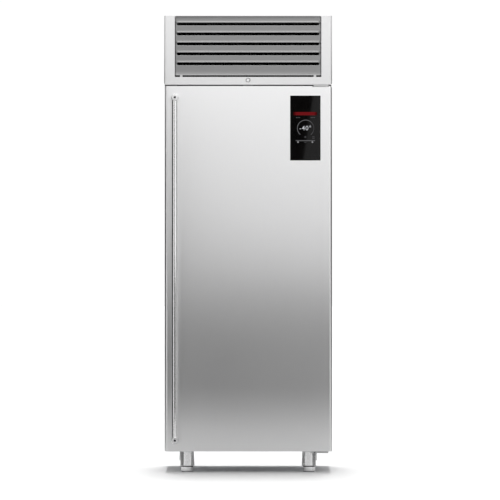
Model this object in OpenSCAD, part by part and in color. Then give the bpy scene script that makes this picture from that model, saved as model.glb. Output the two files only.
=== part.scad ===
// Upright blast chiller: an insulated reach-in cabinet on four levelling feet, with a full-height
// door, a bar handle, a touch display in the door, and the condensing unit on top behind a
// louvred fascia that swings up.
// Frame: the origin is on the floor under the middle of the bounding box, +Z up.
// The door faces -Y and is hinged at +X.

/* [Overall] */
// Width across the top fascia
overall_w = 780; // [740:5:860]
// Height from the floor to the top of the fascia
overall_h = 2120; // [1900:10:2340]
// Depth of the insulated cabinet, from its front frame to its back panel
cabinet_d = 728; // [700:4:860]
// Floor to the underside of the cabinet
leg_h = 96; // [90:2:130]
// How far the cabinet's sides stand in from the fascia's sides
cabinet_inset = 2; // [1:0.5:4]

/* [Sheet metal] */
// Thickness of the outer stainless sheet
sheet_t = 1.2; // [0.8:0.1:1.5]
// Thickness of the chamber's inner sheet
liner_t = 1; // [0.8:0.1:1.5]
// Thickness of the base panel
base_t = 1.5; // [1:0.5:3]
// Width of the cabinet's folded front flange
flange_w = 25; // [20:1:32]

/* [Chamber] */
// Insulated wall, from the outside to the chamber
wall_t = 60; // [54:1:70]
// Insulated floor of the chamber
floor_t = 70; // [66:2:90]
// Insulated ceiling of the chamber
ceiling_t = 75; // [68:1:90]
// Radius of the chamber's coved edges
cove_r = 20; // [12:1:30]
// Thickness of the plastic thermal break round the mouth
breaker_t = 8; // [5:1:12]
// Chamber depth taken by the fan panel, the coil and the space between them
air_box_d = 189; // [186:1:220]

/* [Tray racks] */
// Number of pairs of tray runners, as far as the uprights have room for them
runner_pairs = 10; // [6:1:11]
// Height between pairs of runners
runner_pitch = 140; // [70:5:140]
// Width of the ledge that carries a tray
runner_ledge = 26; // [18:1:32]
// Depth of a runner's web
runner_web = 18; // [12:1:24]
// Length of a runner, front to back
runner_len = 440; // [400:5:450]
// Sheet thickness of the runners and uprights
rack_t = 1.5; // [1:0.25:2]
// Width of an upright, front to back
upright_w = 25; // [20:1:35]
// How far an upright stands out from the chamber wall
upright_d = 20; // [16:1:24]
// Distance of the front uprights behind the runners' front ends
upright_first = 70; // [50:1:100]
// Distance from the front to the rear uprights
upright_step = 290; // [240:5:300]
// Least length of upright left beyond its end slots
upright_end = 15; // [10:1:25]
// Hook slots in the uprights for each step from runner to runner
slots_per_pitch = 2; // [1:1:3]

/* [Door] */
// Thickness of the door leaf
door_t = 60; // [50:1:70]
// Height of the door's lower edge above the cabinet's base
door_lift = 2; // [1.5:0.5:4]
// How far the door's left edge stands in from the fascia's side
door_reveal_left = 4.5; // [1:0.5:8]
// How far the door's right edge stands in from the fascia's side
door_reveal_right = 0.5; // [0.5:0.5:4]
// Radius of the door's upright front edges
door_edge_r = 12; // [6:1:16]
// Width of the return that the door skin is folded to at the back
door_return_w = 18; // [12:1:24]
// Space between the door leaf and the front frame, filled by the gasket
door_gap = 12; // [11:0.5:18]
// Width of the gasket
gasket_w = 20; // [14:1:22]
// Distance of the gasket from the chamber's mouth
gasket_inset = 6; // [3:1:7]
// Height of the raised field on the inside of the door
plug_h = 8; // [4:1:9]
// Distance of the raised field from the chamber's mouth
plug_inset = 13; // [10:1:30]

/* [Door hinges] */
// Distance of the hinge axis from the door's right edge
pivot_x_in = 24.5; // [23:0.5:26]
// Distance of the hinge axis behind the door's front face
pivot_y_in = 22; // [20:0.5:24]
// Radius of the hinge pins
pin_r = 6; // [4:0.5:8]
// Wall of the bushes in the door
bush_wall = 3; // [2:0.5:4]
// Length of the bushes in the door
bush_len = 24; // [16:1:30]
// Thickness of the hinge plates
hinge_plate_t = 6; // [4:0.5:6]
// Width of the upper hinge plate
upper_plate_w = 69; // [50:1:72]
// Width of the lower hinge plate
lower_plate_w = 55; // [40:1:60]
// How far the hinge plates reach past the axis to the right
plate_overhang = 8; // [7:0.5:12]
// How far the hinge plates reach back over and under the cabinet
plate_tail = 66; // [50:1:70]
// Running clearance on the radius of pins, shafts and bores
run_clear = 0.08; // [0.03:0.01:0.1]

/* [Handle] */
// Height of the lower post above the door's lower edge
handle_z_in = 52; // [40:1:200]
// Distance of the upper post below the door's top edge
handle_top_in = 54; // [40:1:200]
// Distance of the handle from the door's left edge
handle_x_in = 46.3; // [30:0.1:80]
// Diameter of the handle bar
handle_d = 26; // [20:1:30]
// Wall of the handle bar's tube
handle_wall = 2; // [1.5:0.5:3]
// Diameter of the posts
post_d = 33; // [32:1:40]
// How far the posts stand out from the door
handle_reach = 60; // [58:1:75]
// Distance of the bar's centre from the door's face
handle_offset = 44; // [36:1:44]
// Diameter of the screw through each post
handle_screw_d = 8; // [6:1:8]
// Diameter of the counterbore in a post's face
counterbore_d = 10; // [10:0.5:14]

/* [Display] */
// Width of the display glass
display_w = 140; // [110:1:150]
// Height of the display glass
display_h = 300; // [240:5:320]
// Thickness of the display glass
glass_t = 2.2; // [2:0.1:4]
// Distance of the glass from the door's right edge
display_x_in = 53.7; // [50:0.1:90]
// Distance of the glass below the door's top edge
display_z_in = 45; // [40:1:90]
// Depth of the display's housing
display_housing_d = 28; // [20:1:36]
// Width of the housing's rim behind the door skin
display_rim = 7; // [4:1:10]
// Wall of the display's housing
display_wall = 2.5; // [2:0.5:4]

/* [Fascia] */
// Height of the fascia in front of the machine compartment; the door has what is left
fascia_h = 320; // [290:5:380]
// Gap between the door and the fascia
seam = 6; // [4:0.5:8]
// Width of the fascia's side strips
fascia_strip = 50; // [30:1:60]
// Height of the fascia's bottom strip
fascia_sill = 36; // [32:1:44]
// Radius of the fascia's upright front edges
fascia_edge_r = 10; // [6:1:12]
// Radius of the fascia's lower corners, seen from the front
fascia_corner_r = 10; // [6:1:12]
// Gap between the fascia and the housing's side panels
fascia_back_gap = 4; // [3:0.5:6]

/* [Grille] */
// How far the louvred panel is set back from the fascia's face
grille_recess = 10; // [8:0.5:14]
// Sheet thickness of the louvred panel
grille_t = 1.5; // [1:0.25:2]
// Number of louvre slots
louvres = 5; // [3:1:5]
// Pitch of the louvre slots
louvre_pitch = 46.2; // [40:0.1:50]
// Height of a louvre slot
louvre_slot_h = 9.5; // [6:0.5:14]
// Distance of the first slot below the top of the grille
louvre_top = 37.8; // [30:0.1:45]
// Distance of the slots' ends from the sides of the grille
louvre_side = 10; // [8:0.5:30]
// How far a louvre's hood stands out from the panel
hood_out = 5; // [3:0.5:7]
// Height of a louvre's hood
hood_h = 9; // [7:0.5:14]
// Gap at the grille's sides
grille_side_gap = 1.5; // [0.5:0.5:4]
// Gap under the grille's lower edge
grille_foot_gap = 6.5; // [4:0.5:10]
// Distance of the two locating tabs from the sides of the grille's opening
grille_tab_x = 30; // [20:1:90]
// Depth of the fold along the top of the grille
grille_top_fold = 40; // [20:1:50]

/* [Fascia lock] */
// Diameter of the lock's rosette
lock_d = 23; // [18:1:24]
// Diameter of the turning plug
lock_plug_d = 14; // [10:1:15]
// Height of the lock above the fascia's lower edge
lock_z_in = 21.6; // [21:0.1:22]
// Length of the lock behind the fascia's face
lock_len = 30; // [24:1:34]
// Reach of the lock's cam from its axis
cam_reach = 16; // [14:0.5:17]
// Thickness of the cam
cam_t = 3; // [2:0.5:4]

/* [Fascia hinge] */
// Distance of the fascia's hinge axis behind the fascia's face
flap_y_in = 62; // [60:0.5:64]
// Distance of the fascia's hinge axis below its top edge
flap_z_in = 12; // [12:0.5:16]
// Radius of the fascia's hinge pins
flap_pin_r = 4; // [3:0.5:5]
// Thickness of the hinge lugs on the fascia
lug_t = 4; // [3:0.5:6]

/* [Levelling feet] */
// Distance of the front feet's middle from the cabinet's sides
foot_x_front = 105; // [88:1:150]
// Distance of the rear feet's middle from the cabinet's sides
foot_x_rear = 93; // [88:1:150]
// Distance of the front feet behind the cabinet's front frame
foot_y_front = 45; // [40:1:90]
// Distance of the rear feet in front of the back panel
foot_y_rear = 80; // [50:1:120]
// Diameter of a leg sleeve at its top
sleeve_top_d = 61; // [56:1:64]
// Diameter of a leg sleeve at its lower edge
sleeve_bottom_d = 67; // [66:1:74]
// Wall of a leg sleeve
sleeve_wall = 2; // [1.5:0.25:3]
// Diameter of the screw-out foot
foot_d = 58; // [50:1:60]
// Height of the sleeve's lower edge above the floor
sleeve_floor_gap = 28; // [20:1:34]
// Diameter of the foot's threaded stem
stem_d = 16; // [12:1:20]
// How far a foot screws out
foot_travel = 30; // [15:1:30]

/* [Fans] */
// Radius of the fan openings
fan_open_r = 104; // [96:1:105]
// Gap between blade tips and opening
fan_tip_gap = 5; // [4:0.5:10]
// Radius of a fan's hub
hub_r = 28; // [22:1:34]
// Number of blades
blades = 5; // [3:1:7]
// Pitch angle of the blades
blade_pitch = 28; // [20:1:32]
// Number of evaporator fans
evaporator_fans = 3; // [3:1:3]
// Radius of a fan motor
motor_r = 38; // [30:1:42]

/* [Coils] */
// Thickness of the coil fins
fin_t = 0.8; // [0.6:0.1:1]
// Pitch of the condenser's fins
condenser_fin_pitch = 13; // [10:1:20]
// Width of the condenser
condenser_w = 520; // [480:10:530]
// Height of the condenser
condenser_h = 280; // [240:5:290]
// Depth of the condenser
condenser_d = 60; // [50:1:62]
// Pitch of the evaporator's fins
evaporator_fin_pitch = 30; // [20:1:50]
// Width of the evaporator
evaporator_w = 580; // [540:10:590]
// Depth of the evaporator
evaporator_d = 70; // [60:1:74]
// Radius of the coils' tubes
coil_tube_r = 5; // [4:0.5:6]

/* [Refrigeration] */
// Radius of the compressor's shell
compressor_r = 95; // [80:1:96]
// Height of the compressor's shell
compressor_h = 240; // [200:5:250]
// Height of the compressor's domed top
compressor_dome = 45; // [35:1:50]
// Distance of the compressor's axis from the cabinet's right side
compressor_side = 138; // [124:1:150]
// Distance of the compressor's axis behind the cabinet's front frame
compressor_back = 368; // [340:2:400]
// Height of the compressor's rubber mounts
mount_h = 12; // [10:1:16]
// Distance of the mounts' bolts from the compressor's shell
mount_out = 10; // [9:0.5:12]
// Width of the compressor's foot plates
compressor_foot_w = 36; // [30:1:44]
// Radius of the receiver
receiver_r = 45; // [36:1:46]
// Length of the receiver
receiver_len = 300; // [240:5:320]
// Place of the receiver's middle across the cabinet
receiver_x = -120; // [-150:5:-100]
// Distance of the receiver's axis in front of the back panel
receiver_back = 90; // [80:1:100]
// Height of the receiver's underside above the deck
receiver_lift = 10; // [6:1:16]
// Height of the filter drier's axis above the receiver
drier_lift = 65; // [58:1:75]
// Length of the filter drier
drier_len = 110; // [90:5:120]
// Radius of the filter drier
drier_r = 22; // [16:1:24]
// Straight tube between the drier and the bend towards the chamber
drier_tail = 6; // [4:1:12]
// Distance of the liquid line's way down from the suction line's
liquid_side = 50; // [40:1:56]
// Radius of the discharge and liquid lines
line_r = 6; // [4:0.5:8]
// Radius of the suction line
suction_r = 9; // [7:0.5:11]
// Bend radius of the lines, on their centre
bend_r = 24; // [20:1:26]

/* [Electrical box] */
// Width of the electrical box
electrics_w = 230; // [200:5:250]
// Depth of the electrical box
electrics_d = 230; // [200:5:250]
// Height of the electrical box under its lid
electrics_h = 150; // [120:5:180]
// Distance of the electrical box from the cabinet's left side
electrics_side = 30; // [20:1:40]
// Distance of the electrical box behind the condenser's shroud
electrics_back = 130; // [118:1:150]

/* [Rear fittings] */
// How far the drain and the cable gland stand out behind
rear_reach = 20; // [14:1:30]
// Radius of the drain tube
drain_r = 11; // [9:0.5:13]
// Radius of the hose spigot at the drain's outlet
spigot_r = 12.5; // [10:0.5:14]
// Height of the drain's outlet above the cabinet's base
drain_z_in = 34; // [28:1:36]
// Radius of the cable gland's bore
gland_bore_r = 7; // [5:0.5:9]

/* [Hidden] */
$fn = 48;
eps = 0.01;

// Colours
steel = [0.78, 0.78, 0.79];
steel_dull = [0.62, 0.62, 0.63];
galvanised = [0.68, 0.70, 0.72];
foam = [0.93, 0.88, 0.70];
black = [0.06, 0.06, 0.07];
dark_grey = [0.25, 0.26, 0.27];
fin_grey = [0.72, 0.74, 0.76];
copper = [0.72, 0.42, 0.26];

// Clearances
seat_gap = 0.3;   // a piece that is pushed home on its seat
swing_gap = 2;    // door hinge plates over and under the door

// Depths: the bounding box, handle to rear fittings, is centred on Y = 0
total_d = handle_reach + door_t + door_gap + cabinet_d + rear_reach;
door_y = -total_d / 2 + handle_reach;        // door's front face
door_back_y = door_y + door_t;
frame_y = door_back_y + door_gap;            // cabinet's front frame
back_y = frame_y + cabinet_d;                // back panel's outer face
back_in_y = back_y - sheet_t;
rear_y = back_y + rear_reach;

// Widths
cab_x = overall_w / 2 - cabinet_inset;
chamber_x = cab_x - wall_t;
mouth_x = cab_x - flange_w;
door_x0 = -overall_w / 2 + door_reveal_left;
door_x1 = overall_w / 2 - door_reveal_right;

// Heights
base_z = leg_h;
base_top = base_z + base_t;
fascia_z0 = overall_h - fascia_h;
door_z0 = base_z + door_lift;
door_z1 = fascia_z0 - seam;
door_h = door_z1 - door_z0;
cab_z1 = door_z1 - swing_gap;                // top of the insulated cabinet
chamber_z0 = base_z + floor_t;
chamber_z1 = cab_z1 - ceiling_t;
mouth_z0 = base_z + flange_w + 5;
mouth_z1 = cab_z1 - flange_w - 5;
chamber_h = chamber_z1 - chamber_z0;
chamber_mid_z = (chamber_z0 + chamber_z1) / 2;
top_z = overall_h;

// Chamber depth
liner_y0 = frame_y + breaker_t;
chamber_y1 = back_y - wall_t - liner_t;      // chamber's rear wall
liner_y1 = chamber_y1 + liner_t;
panel_y = chamber_y1 - air_box_d;            // front of the fan panel

// Door hinge axis
pivot_x = door_x1 - pivot_x_in;
pivot_y = door_y + pivot_y_in;
bush_r = pin_r + run_clear + bush_wall;
recess_z = cab_z1 - swing_gap;               // floor of the recess under the upper hinge plate
plate_x1 = pivot_x + plate_overhang;
plate_y0 = door_y + 1.5;                     // hinge plates end just behind the door's face
recess_x0 = plate_x1 - upper_plate_w - 5;    // left end of the recess in the door's top

// Handle
handle_x = door_x0 + handle_x_in;
handle_z0 = door_z0 + handle_z_in;
handle_z1 = door_z1 - handle_top_in;
bar_y = door_y - handle_offset;
post_face_y = door_y - handle_reach;
screw_head_d = 6;                            // height of the handle screws' heads
insert_len = 16;                             // thread behind the door skin

// Display
display_x1 = door_x1 - display_x_in;
display_x0 = display_x1 - display_w;
display_z1 = door_z1 - display_z_in;
display_z0 = display_z1 - display_h;
glass_y1 = door_y + sheet_t;

// Fascia and its hinge
grille_x = overall_w / 2 - fascia_strip;
grille_z0 = fascia_z0 + fascia_sill;
grille_y = door_y + grille_recess;
fascia_y1 = frame_y - fascia_back_gap;
housing_y0 = frame_y + 2;
flap_y = door_y + flap_y_in;
flap_z = top_z - flap_z_in;
lug_x = cab_x - sheet_t - 6 - 3 - lug_t;     // inner face of a lug on the fascia
flap_plate_x = cab_x - sheet_t - 6;          // inner face of a hinge bracket

// Lock
lock_z = fascia_z0 + lock_z_in;
lock_y1 = door_y + lock_len;
strike_top = lock_z - lock_d / 2 - 0.6;      // top of the strike's lip, under the lock's barrel
strike_z = fascia_z0 + 3;

// Legs
sleeve_h = leg_h - sleeve_floor_gap;
stem_r = stem_d / 2;
foot_y = [frame_y + foot_y_front, back_y - foot_y_rear];
foot_spots = [
    [foot_x_front - cab_x, foot_y[0]], [cab_x - foot_x_front, foot_y[0]],
    [foot_x_rear - cab_x, foot_y[1]], [cab_x - foot_x_rear, foot_y[1]]
];
cap_t = 4;                                   // closed top of a leg sleeve
stud_r = 5;                                  // stud that holds a leg to the base
stud_len = 14;
boss_wall = 4;
foot_top = sleeve_floor_gap + foot_travel + 4;  // top of the foot inside the sleeve

// Tray racks
rack_x = chamber_x - upright_d;              // inner face of the uprights
runner_y0 = liner_y0 + 8;
upright_spots = [runner_y0 + upright_first, runner_y0 + upright_first + upright_step];
upright_z0 = chamber_z0 + cove_r + 2;
upright_z1 = chamber_z1 - cove_r - 2;
hook_room = 2 * (chamber_mid_z - runner_web / 2 - upright_z0 - upright_end);
pairs = min(runner_pairs, floor(hook_room / runner_pitch) + 1);
runner_z0 = chamber_mid_z - (pairs - 1) * runner_pitch / 2;
hook_h = 5;
slot_pitch = runner_pitch / slots_per_pitch;
first_slot_z = runner_z0 - runner_web / 2;   // the lowest runner's hooks
slot_low = ceil((upright_z0 + upright_end - first_slot_z) / slot_pitch);
slot_high = floor((upright_z1 - upright_end - first_slot_z) / slot_pitch);

// Machine compartment
deck_z = cab_z1;                             // lies on the cabinet's top sheet
deck_t = 3;
deck_top = deck_z + deck_t;
cover_z = top_z - sheet_t;                   // underside of the top cover
condenser_x0 = -cab_x + 58;
condenser_x1 = condenser_x0 + condenser_w;
condenser_y0 = frame_y + 18;
condenser_z0 = deck_top + 2;
condenser_z1 = condenser_z0 + condenser_h;
shroud_t = 1.5;
shroud_y0 = condenser_y0 + condenser_d;
shroud_wall_y = shroud_y0 + 45;              // rear face of the shroud's wall
condenser_fan_x = (condenser_x0 + condenser_x1) / 2;
condenser_fan_z = (condenser_z0 + condenser_z1) / 2;
compressor_spot = [cab_x - compressor_side, frame_y + compressor_back];
compressor_z0 = deck_top + mount_h;
receiver_spot = [receiver_x, back_y - receiver_back, deck_top + receiver_lift + receiver_r];
drier_z = receiver_spot.z + receiver_r + drier_lift;
drier_x0 = compressor_spot.x - liquid_side - bend_r - drier_tail - drier_len;

// Evaporator
coil_y0 = chamber_y1 - 14 - evaporator_d;
coil_z0 = chamber_z0 + 64;
coil_z1 = chamber_z1 - 73;
box_x = chamber_x - 4;                       // outer face of the fan panel's sides
box_t = 1.5;
fan_spots = [for (i = [0 : evaporator_fans - 1])
    coil_z0 + (coil_z1 - coil_z0) * (i + 0.5) / evaporator_fans];
suction_spot = [compressor_spot.x, coil_y0 + evaporator_d / 2];
liquid_spot = [compressor_spot.x - liquid_side, receiver_spot.y];

// Rear fittings
drain_spot = [0, coil_y0 + 20];
drain_z = base_z + drain_z_in;
gland_spot = [-cab_x + 88, deck_z + 90];

// ---------------------------------------------------------------- helpers

// Box between two corners
module slab(low, high) {
    translate(low) cube(high - low);
}

// Rectangle with round corners, centred
module rounded_rect(w, h, r) {
    square([w - 2 * r, h], center = true);
    square([w, h - 2 * r], center = true);
    for (sx = [-1, 1], sy = [-1, 1])
        translate([sx * (w / 2 - r), sy * (h / 2 - r)]) circle(r);
}

// A profile drawn in X and Z, extruded from y0 to y1
module along_y(y0, y1) {
    translate([0, y1, 0]) rotate([90, 0, 0]) linear_extrude(y1 - y0) children();
}

// Cylinder along X, Y or Z between two coordinates
module rod_x(x0, x1, y, z, r) {
    translate([x0, y, z]) rotate([0, 90, 0]) cylinder(h = x1 - x0, r = r);
}
module rod_y(x, y0, y1, z, r) {
    translate([x, y1, z]) rotate([90, 0, 0]) cylinder(h = y1 - y0, r = r);
}
module rod_z(x, y, z0, z1, r) {
    translate([x, y, z0]) cylinder(h = z1 - z0, r = r);
}

// The chamber's section, grown by g, between two depths
module chamber_section(g, y0, y1) {
    translate([0, 0, chamber_mid_z]) along_y(y0, y1)
        rounded_rect(2 * (chamber_x + g), chamber_h + 2 * g, cove_r + g);
}

// Slot with round ends, lying along X, centred
module slot_2d(len, w) {
    square([len - w, w], center = true);
    for (s = [-1, 1]) translate([s * (len - w) / 2, 0]) circle(w / 2);
}

function unit(v) = v / norm(v);

// Turns +Z to the direction d, which lies along an axis
module point_to(d) {
    u = abs(d.z) > 0.5 ? [1, 0, 0] : [0, 0, 1];
    v = cross(d, u);
    multmatrix([[u.x, v.x, d.x, 0], [u.y, v.y, d.y, 0], [u.z, v.z, d.z, 0]]) children();
}

// Tube bent square at each inner point of a route
module pipe(route, r, bend) {
    last = len(route) - 1;
    for (i = [0 : last - 1]) {
        d = unit(route[i + 1] - route[i]);
        cut0 = i == 0 ? 0 : bend;
        cut1 = i == last - 1 ? 0 : bend;
        translate(route[i] + d * cut0) point_to(d)
            cylinder(h = norm(route[i + 1] - route[i]) - cut0 - cut1, r = r);
    }
    for (i = [1 : 1 : last - 1]) {
        d1 = unit(route[i] - route[i - 1]);
        d2 = unit(route[i + 1] - route[i]);
        n = cross(d1, d2);
        c = route[i] + (d2 - d1) * bend;
        multmatrix([
            [-d2.x, d1.x, n.x, c.x], [-d2.y, d1.y, n.y, c.y], [-d2.z, d1.z, n.z, c.z]
        ]) rotate_extrude(angle = 90) translate([bend, 0]) circle(r);
    }
}

// ---------------------------------------------------------------- cabinet

module outer_shell() color(steel) difference() {
    slab([-cab_x, frame_y, base_top], [cab_x, back_in_y, cab_z1]);
    slab([-cab_x + sheet_t, frame_y + sheet_t, base_top - 1],
         [cab_x - sheet_t, back_in_y + 1, cab_z1 - sheet_t]);
    slab([-mouth_x, frame_y - 1, mouth_z0], [mouth_x, frame_y + sheet_t + 1, mouth_z1]);
    line_passages();
}

module back_panel() color(steel_dull) difference() {
    slab([-cab_x, back_in_y, base_z], [cab_x, back_y, cab_z1]);
    rod_y(drain_spot.x, back_in_y - 1, back_y + 1, drain_z, drain_r + seat_gap);
}

plate_w = 90;
plate_t = 5;

// Base panel with a welded plate over each leg
module base_panel() color(steel_dull) difference() {
    union() {
        slab([-cab_x, frame_y, base_z], [cab_x, back_in_y, base_top]);
        leg_plates(0);
    }
    for (p = foot_spots) rod_z(p.x, p.y, base_z - 1, base_top + plate_t + 1, stud_r + 0.1);
}

module leg_plates(g) {
    for (p = foot_spots)
        slab([p.x - plate_w / 2 - g, p.y - plate_w / 2 + 5 - g, base_top - eps],
             [p.x + plate_w / 2 + g, p.y + plate_w / 2 + 5 + g, base_top + plate_t + g]);
}

module insulation() color(foam) difference() {
    slab([-cab_x + sheet_t, frame_y + sheet_t, base_top],
         [cab_x - sheet_t, back_in_y, cab_z1 - sheet_t]);
    chamber_section(liner_t, frame_y - 1, liner_y1);
    slab([-mouth_x, frame_y - 1, mouth_z0], [mouth_x, liner_y0, mouth_z1]);
    leg_plates(seat_gap);
    for (p = foot_spots)
        rod_z(p.x, p.y, base_top, base_z + stud_len + 1, stud_r + 1);
    pipe(drain_route(), drain_r + seat_gap, drain_bend);
    line_passages();
    slab(sensor_low - [seat_gap, 1, seat_gap], sensor_high + [seat_gap, seat_gap, seat_gap]);
}

module inner_liner() color(steel) difference() {
    chamber_section(liner_t, liner_y0, liner_y1);
    chamber_section(0, liner_y0 - 1, chamber_y1);
    rod_z(drain_spot.x, drain_spot.y, chamber_z0 - 5, chamber_z0 + 1, drain_r + seat_gap);
    line_passages();
}

module breaker_frame() color(dark_grey) difference() {
    slab([-mouth_x, frame_y, mouth_z0], [mouth_x, liner_y0, mouth_z1]);
    chamber_section(0, frame_y - 1, liner_y0 + 1);
}

// Holes for the suction and liquid lines through the ceiling and the deck
module line_passages() {
    rod_z(suction_spot.x, suction_spot.y, coil_z1, deck_top + 1, suction_r + seat_gap);
    rod_z(liquid_spot.x, liquid_spot.y, coil_z1, deck_top + 1, line_r + seat_gap);
}

drain_bend = 18;
function drain_route() = [
    [drain_spot.x, drain_spot.y, chamber_z0],
    [drain_spot.x, drain_spot.y, drain_z],
    [drain_spot.x, rear_y, drain_z]
];

// Floor drain with its flange, led out at the back
module drain_tube() color(steel_dull) difference() {
    union() {
        pipe(drain_route(), drain_r, drain_bend);
        rod_z(drain_spot.x, drain_spot.y, chamber_z0, chamber_z0 + 1.5, drain_r + 9);
        rod_y(drain_spot.x, back_y, rear_y, drain_z, spigot_r);
    }
    pipe(drain_route(), drain_r - 1.5, drain_bend);
    rod_z(drain_spot.x, drain_spot.y, chamber_z0 - 1, chamber_z0 + 2, drain_r - 1.5);
    rod_y(drain_spot.x, rear_y - 1, rear_y + 1, drain_z, drain_r - 1.5);
}

sensor_size = [44, 14, 14];
sensor_side = 88;                            // distance from the cabinet's left side
sensor_low = [-cab_x + sensor_side, frame_y + sheet_t, cab_z1 - 24];
sensor_high = sensor_low + sensor_size;

// Magnetic door switch behind the front flange
module door_sensor() color(black) slab(sensor_low, sensor_high);

// ---------------------------------------------------------------- legs and feet

// One leg sleeve: a tapered shell with a stud above and a threaded boss inside
module leg_sleeve() {
    boss_z0 = foot_top + seat_gap;
    difference() {
        translate([0, 0, sleeve_floor_gap])
            cylinder(h = sleeve_h, d1 = sleeve_bottom_d, d2 = sleeve_top_d);
        translate([0, 0, sleeve_floor_gap - eps])
            cylinder(h = sleeve_h - cap_t,
                     d1 = sleeve_bottom_d - 2 * sleeve_wall,
                     d2 = sleeve_top_d - 2 * sleeve_wall);
    }
    rod_z(0, 0, leg_h - eps, leg_h + stud_len, stud_r);
    difference() {
        rod_z(0, 0, boss_z0, leg_h - cap_t + eps, stem_r + boss_wall);
        rod_z(0, 0, boss_z0 - 1, leg_h - cap_t, stem_r + run_clear);
    }
}

module leg_sleeves() color(steel)
    for (p = foot_spots) translate([p.x, p.y, 0]) leg_sleeve();

// One screw-out foot: pad, collar inside the sleeve and threaded stem
module levelling_foot(i) {
    r = foot_d / 2;
    color(steel) translate([foot_spots[i].x, foot_spots[i].y, 0]) {
        rotate_extrude() polygon([
            [0, 0], [r - 2, 0], [r, 2], [r, sleeve_floor_gap - 4], [r - 2, sleeve_floor_gap - 4],
            [r - 2, sleeve_floor_gap - 2], [r, sleeve_floor_gap - 2], [r, foot_top], [0, foot_top]
        ]);
        rod_z(0, 0, foot_top - eps, leg_h - cap_t - 1, stem_r);
    }
}

// ---------------------------------------------------------------- door hinges

module hinge_plate_upper() color(steel_dull) difference() {
    slab([plate_x1 - upper_plate_w, plate_y0, cab_z1],
         [plate_x1, frame_y + plate_tail, cab_z1 + hinge_plate_t]);
    rod_z(pivot_x, pivot_y, cab_z1 - 1, cab_z1 + hinge_plate_t + 1, pin_r);
    for (dx = [-15, -50])
        rod_z(plate_x1 + dx, frame_y + plate_tail - 20, cab_z1 - 1,
              cab_z1 + hinge_plate_t + 1, 4);
}

module hinge_plate_lower() color(steel_dull) difference() {
    slab([plate_x1 - lower_plate_w, plate_y0, base_z - hinge_plate_t],
         [plate_x1, frame_y + plate_tail - 40, base_z]);
    rod_z(pivot_x, pivot_y, base_z - hinge_plate_t - 1, base_z + 1, pin_r);
}

// Fixed pins: the upper one hangs into the door, the lower one carries it on a shoulder
module hinge_pins() color(steel) {
    rod_z(pivot_x, pivot_y, cab_z1 - bush_len + 2, cab_z1 + hinge_plate_t, pin_r);
    rod_z(pivot_x, pivot_y, base_z - hinge_plate_t, door_z0 + bush_len - 2, pin_r);
    rod_z(pivot_x, pivot_y, base_z, door_z0 - 0.2, pin_r + bush_wall - 0.5);
}

// ---------------------------------------------------------------- door

// The door leaf's outline, shrunk by g on every side
module door_body(g) {
    r = door_edge_r - g;
    x0 = door_x0 + g;
    x1 = door_x1 - g;
    y0 = door_y + g;
    translate([0, 0, door_z0 + g]) linear_extrude(door_h - 2 * g) {
        translate([x0, y0 + r]) square([x1 - x0, door_t - r - 2 * g]);
        translate([x0 + r, y0]) square([x1 - x0 - 2 * r, door_t - 2 * g]);
        translate([x0 + r, y0 + r]) circle(r);
        translate([x1 - r, y0 + r]) circle(r);
    }
}

// Room at the top corner of the door, in which the upper hinge plate turns
module hinge_recess() {
    x0 = recess_x0;
    slab([x0, door_y + sheet_t, recess_z], [door_x1 + 1, door_back_y + 1, door_z1 + 1]);
    slab([x0, door_y - 1, recess_z], [plate_x1 + 2, door_y + sheet_t + 1, door_z1 + 1]);
}

module bush_holes(r) {
    rod_z(pivot_x, pivot_y, recess_z - bush_len, door_z1 + 1, r);
    rod_z(pivot_x, pivot_y, door_z0 - 1, door_z0 + bush_len, r);
}

module display_window(g) {
    slab([display_x0 - g, door_y - 1, display_z0 - g],
         [display_x1 + g, door_y + sheet_t + eps, display_z1 + g]);
}

return_x0 = door_x0 + door_return_w;
return_x1 = door_x1 - door_return_w;
return_z0 = door_z0 + door_return_w;
return_z1 = door_z1 - door_return_w;

// Folded outer skin, open at the back inside its returns
module door_skin() color(steel) difference() {
    door_body(0);
    difference() {
        door_body(sheet_t);
        slab([recess_x0 - sheet_t, door_y, recess_z - sheet_t],
             [door_x1, door_back_y, door_z1]);
    }
    hinge_recess();
    slab([return_x0, door_back_y - sheet_t - 1, return_z0],
         [return_x1, door_back_y + 1, return_z1]);
    bush_holes(bush_r);
    display_window(0.5);
    for (z = [handle_z0, handle_z1])
        rod_y(handle_x, door_y - 1, door_y + sheet_t + 1, z, handle_screw_d / 2 + 0.2);
}

module door_foam() color(foam) difference() {
    union() {
        difference() {
            door_body(sheet_t);
            slab([recess_x0 - sheet_t, door_y, recess_z - sheet_t],
                 [door_x1, door_back_y, door_z1]);
        }
        plug_field(sheet_t, door_back_y - sheet_t - eps, door_back_y + plug_h - sheet_t);
    }
    bush_holes(bush_r);
    slab([display_x0 - display_rim - seat_gap, door_y, display_z0 - display_rim - seat_gap],
         [display_x1 + display_rim + seat_gap,
          door_y + sheet_t + display_housing_d + seat_gap,
          display_z1 + display_rim + seat_gap]);
    for (z = [handle_z0, handle_z1])
        rod_y(handle_x, door_y, door_y + sheet_t + insert_len + seat_gap, z,
              handle_screw_d / 2 + seat_gap);
}

// Raised field of the inner panel, shrunk by g, between two depths
module plug_field(g, y0, y1) {
    translate([0, 0, chamber_mid_z]) along_y(y0, y1)
        rounded_rect(2 * (chamber_x - plug_inset - g), chamber_h - 2 * (plug_inset + g),
                     cove_r - g);
}

// Inner panel with its raised field
module door_liner() color(steel) difference() {
    union() {
        slab([return_x0, door_back_y - sheet_t, return_z0],
             [return_x1, door_back_y, return_z1]);
        plug_field(0, door_back_y - sheet_t, door_back_y + plug_h);
    }
    plug_field(sheet_t, door_back_y - sheet_t - 1, door_back_y + plug_h - sheet_t);
}

// One ring of the gasket: inset from the chamber's mouth, width, and two depths
module gasket_ring(inset, w, y0, y1) {
    difference() {
        chamber_section(inset + w, y0, y1);
        chamber_section(inset, y0 - 1, y1 + 1);
    }
}

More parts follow.
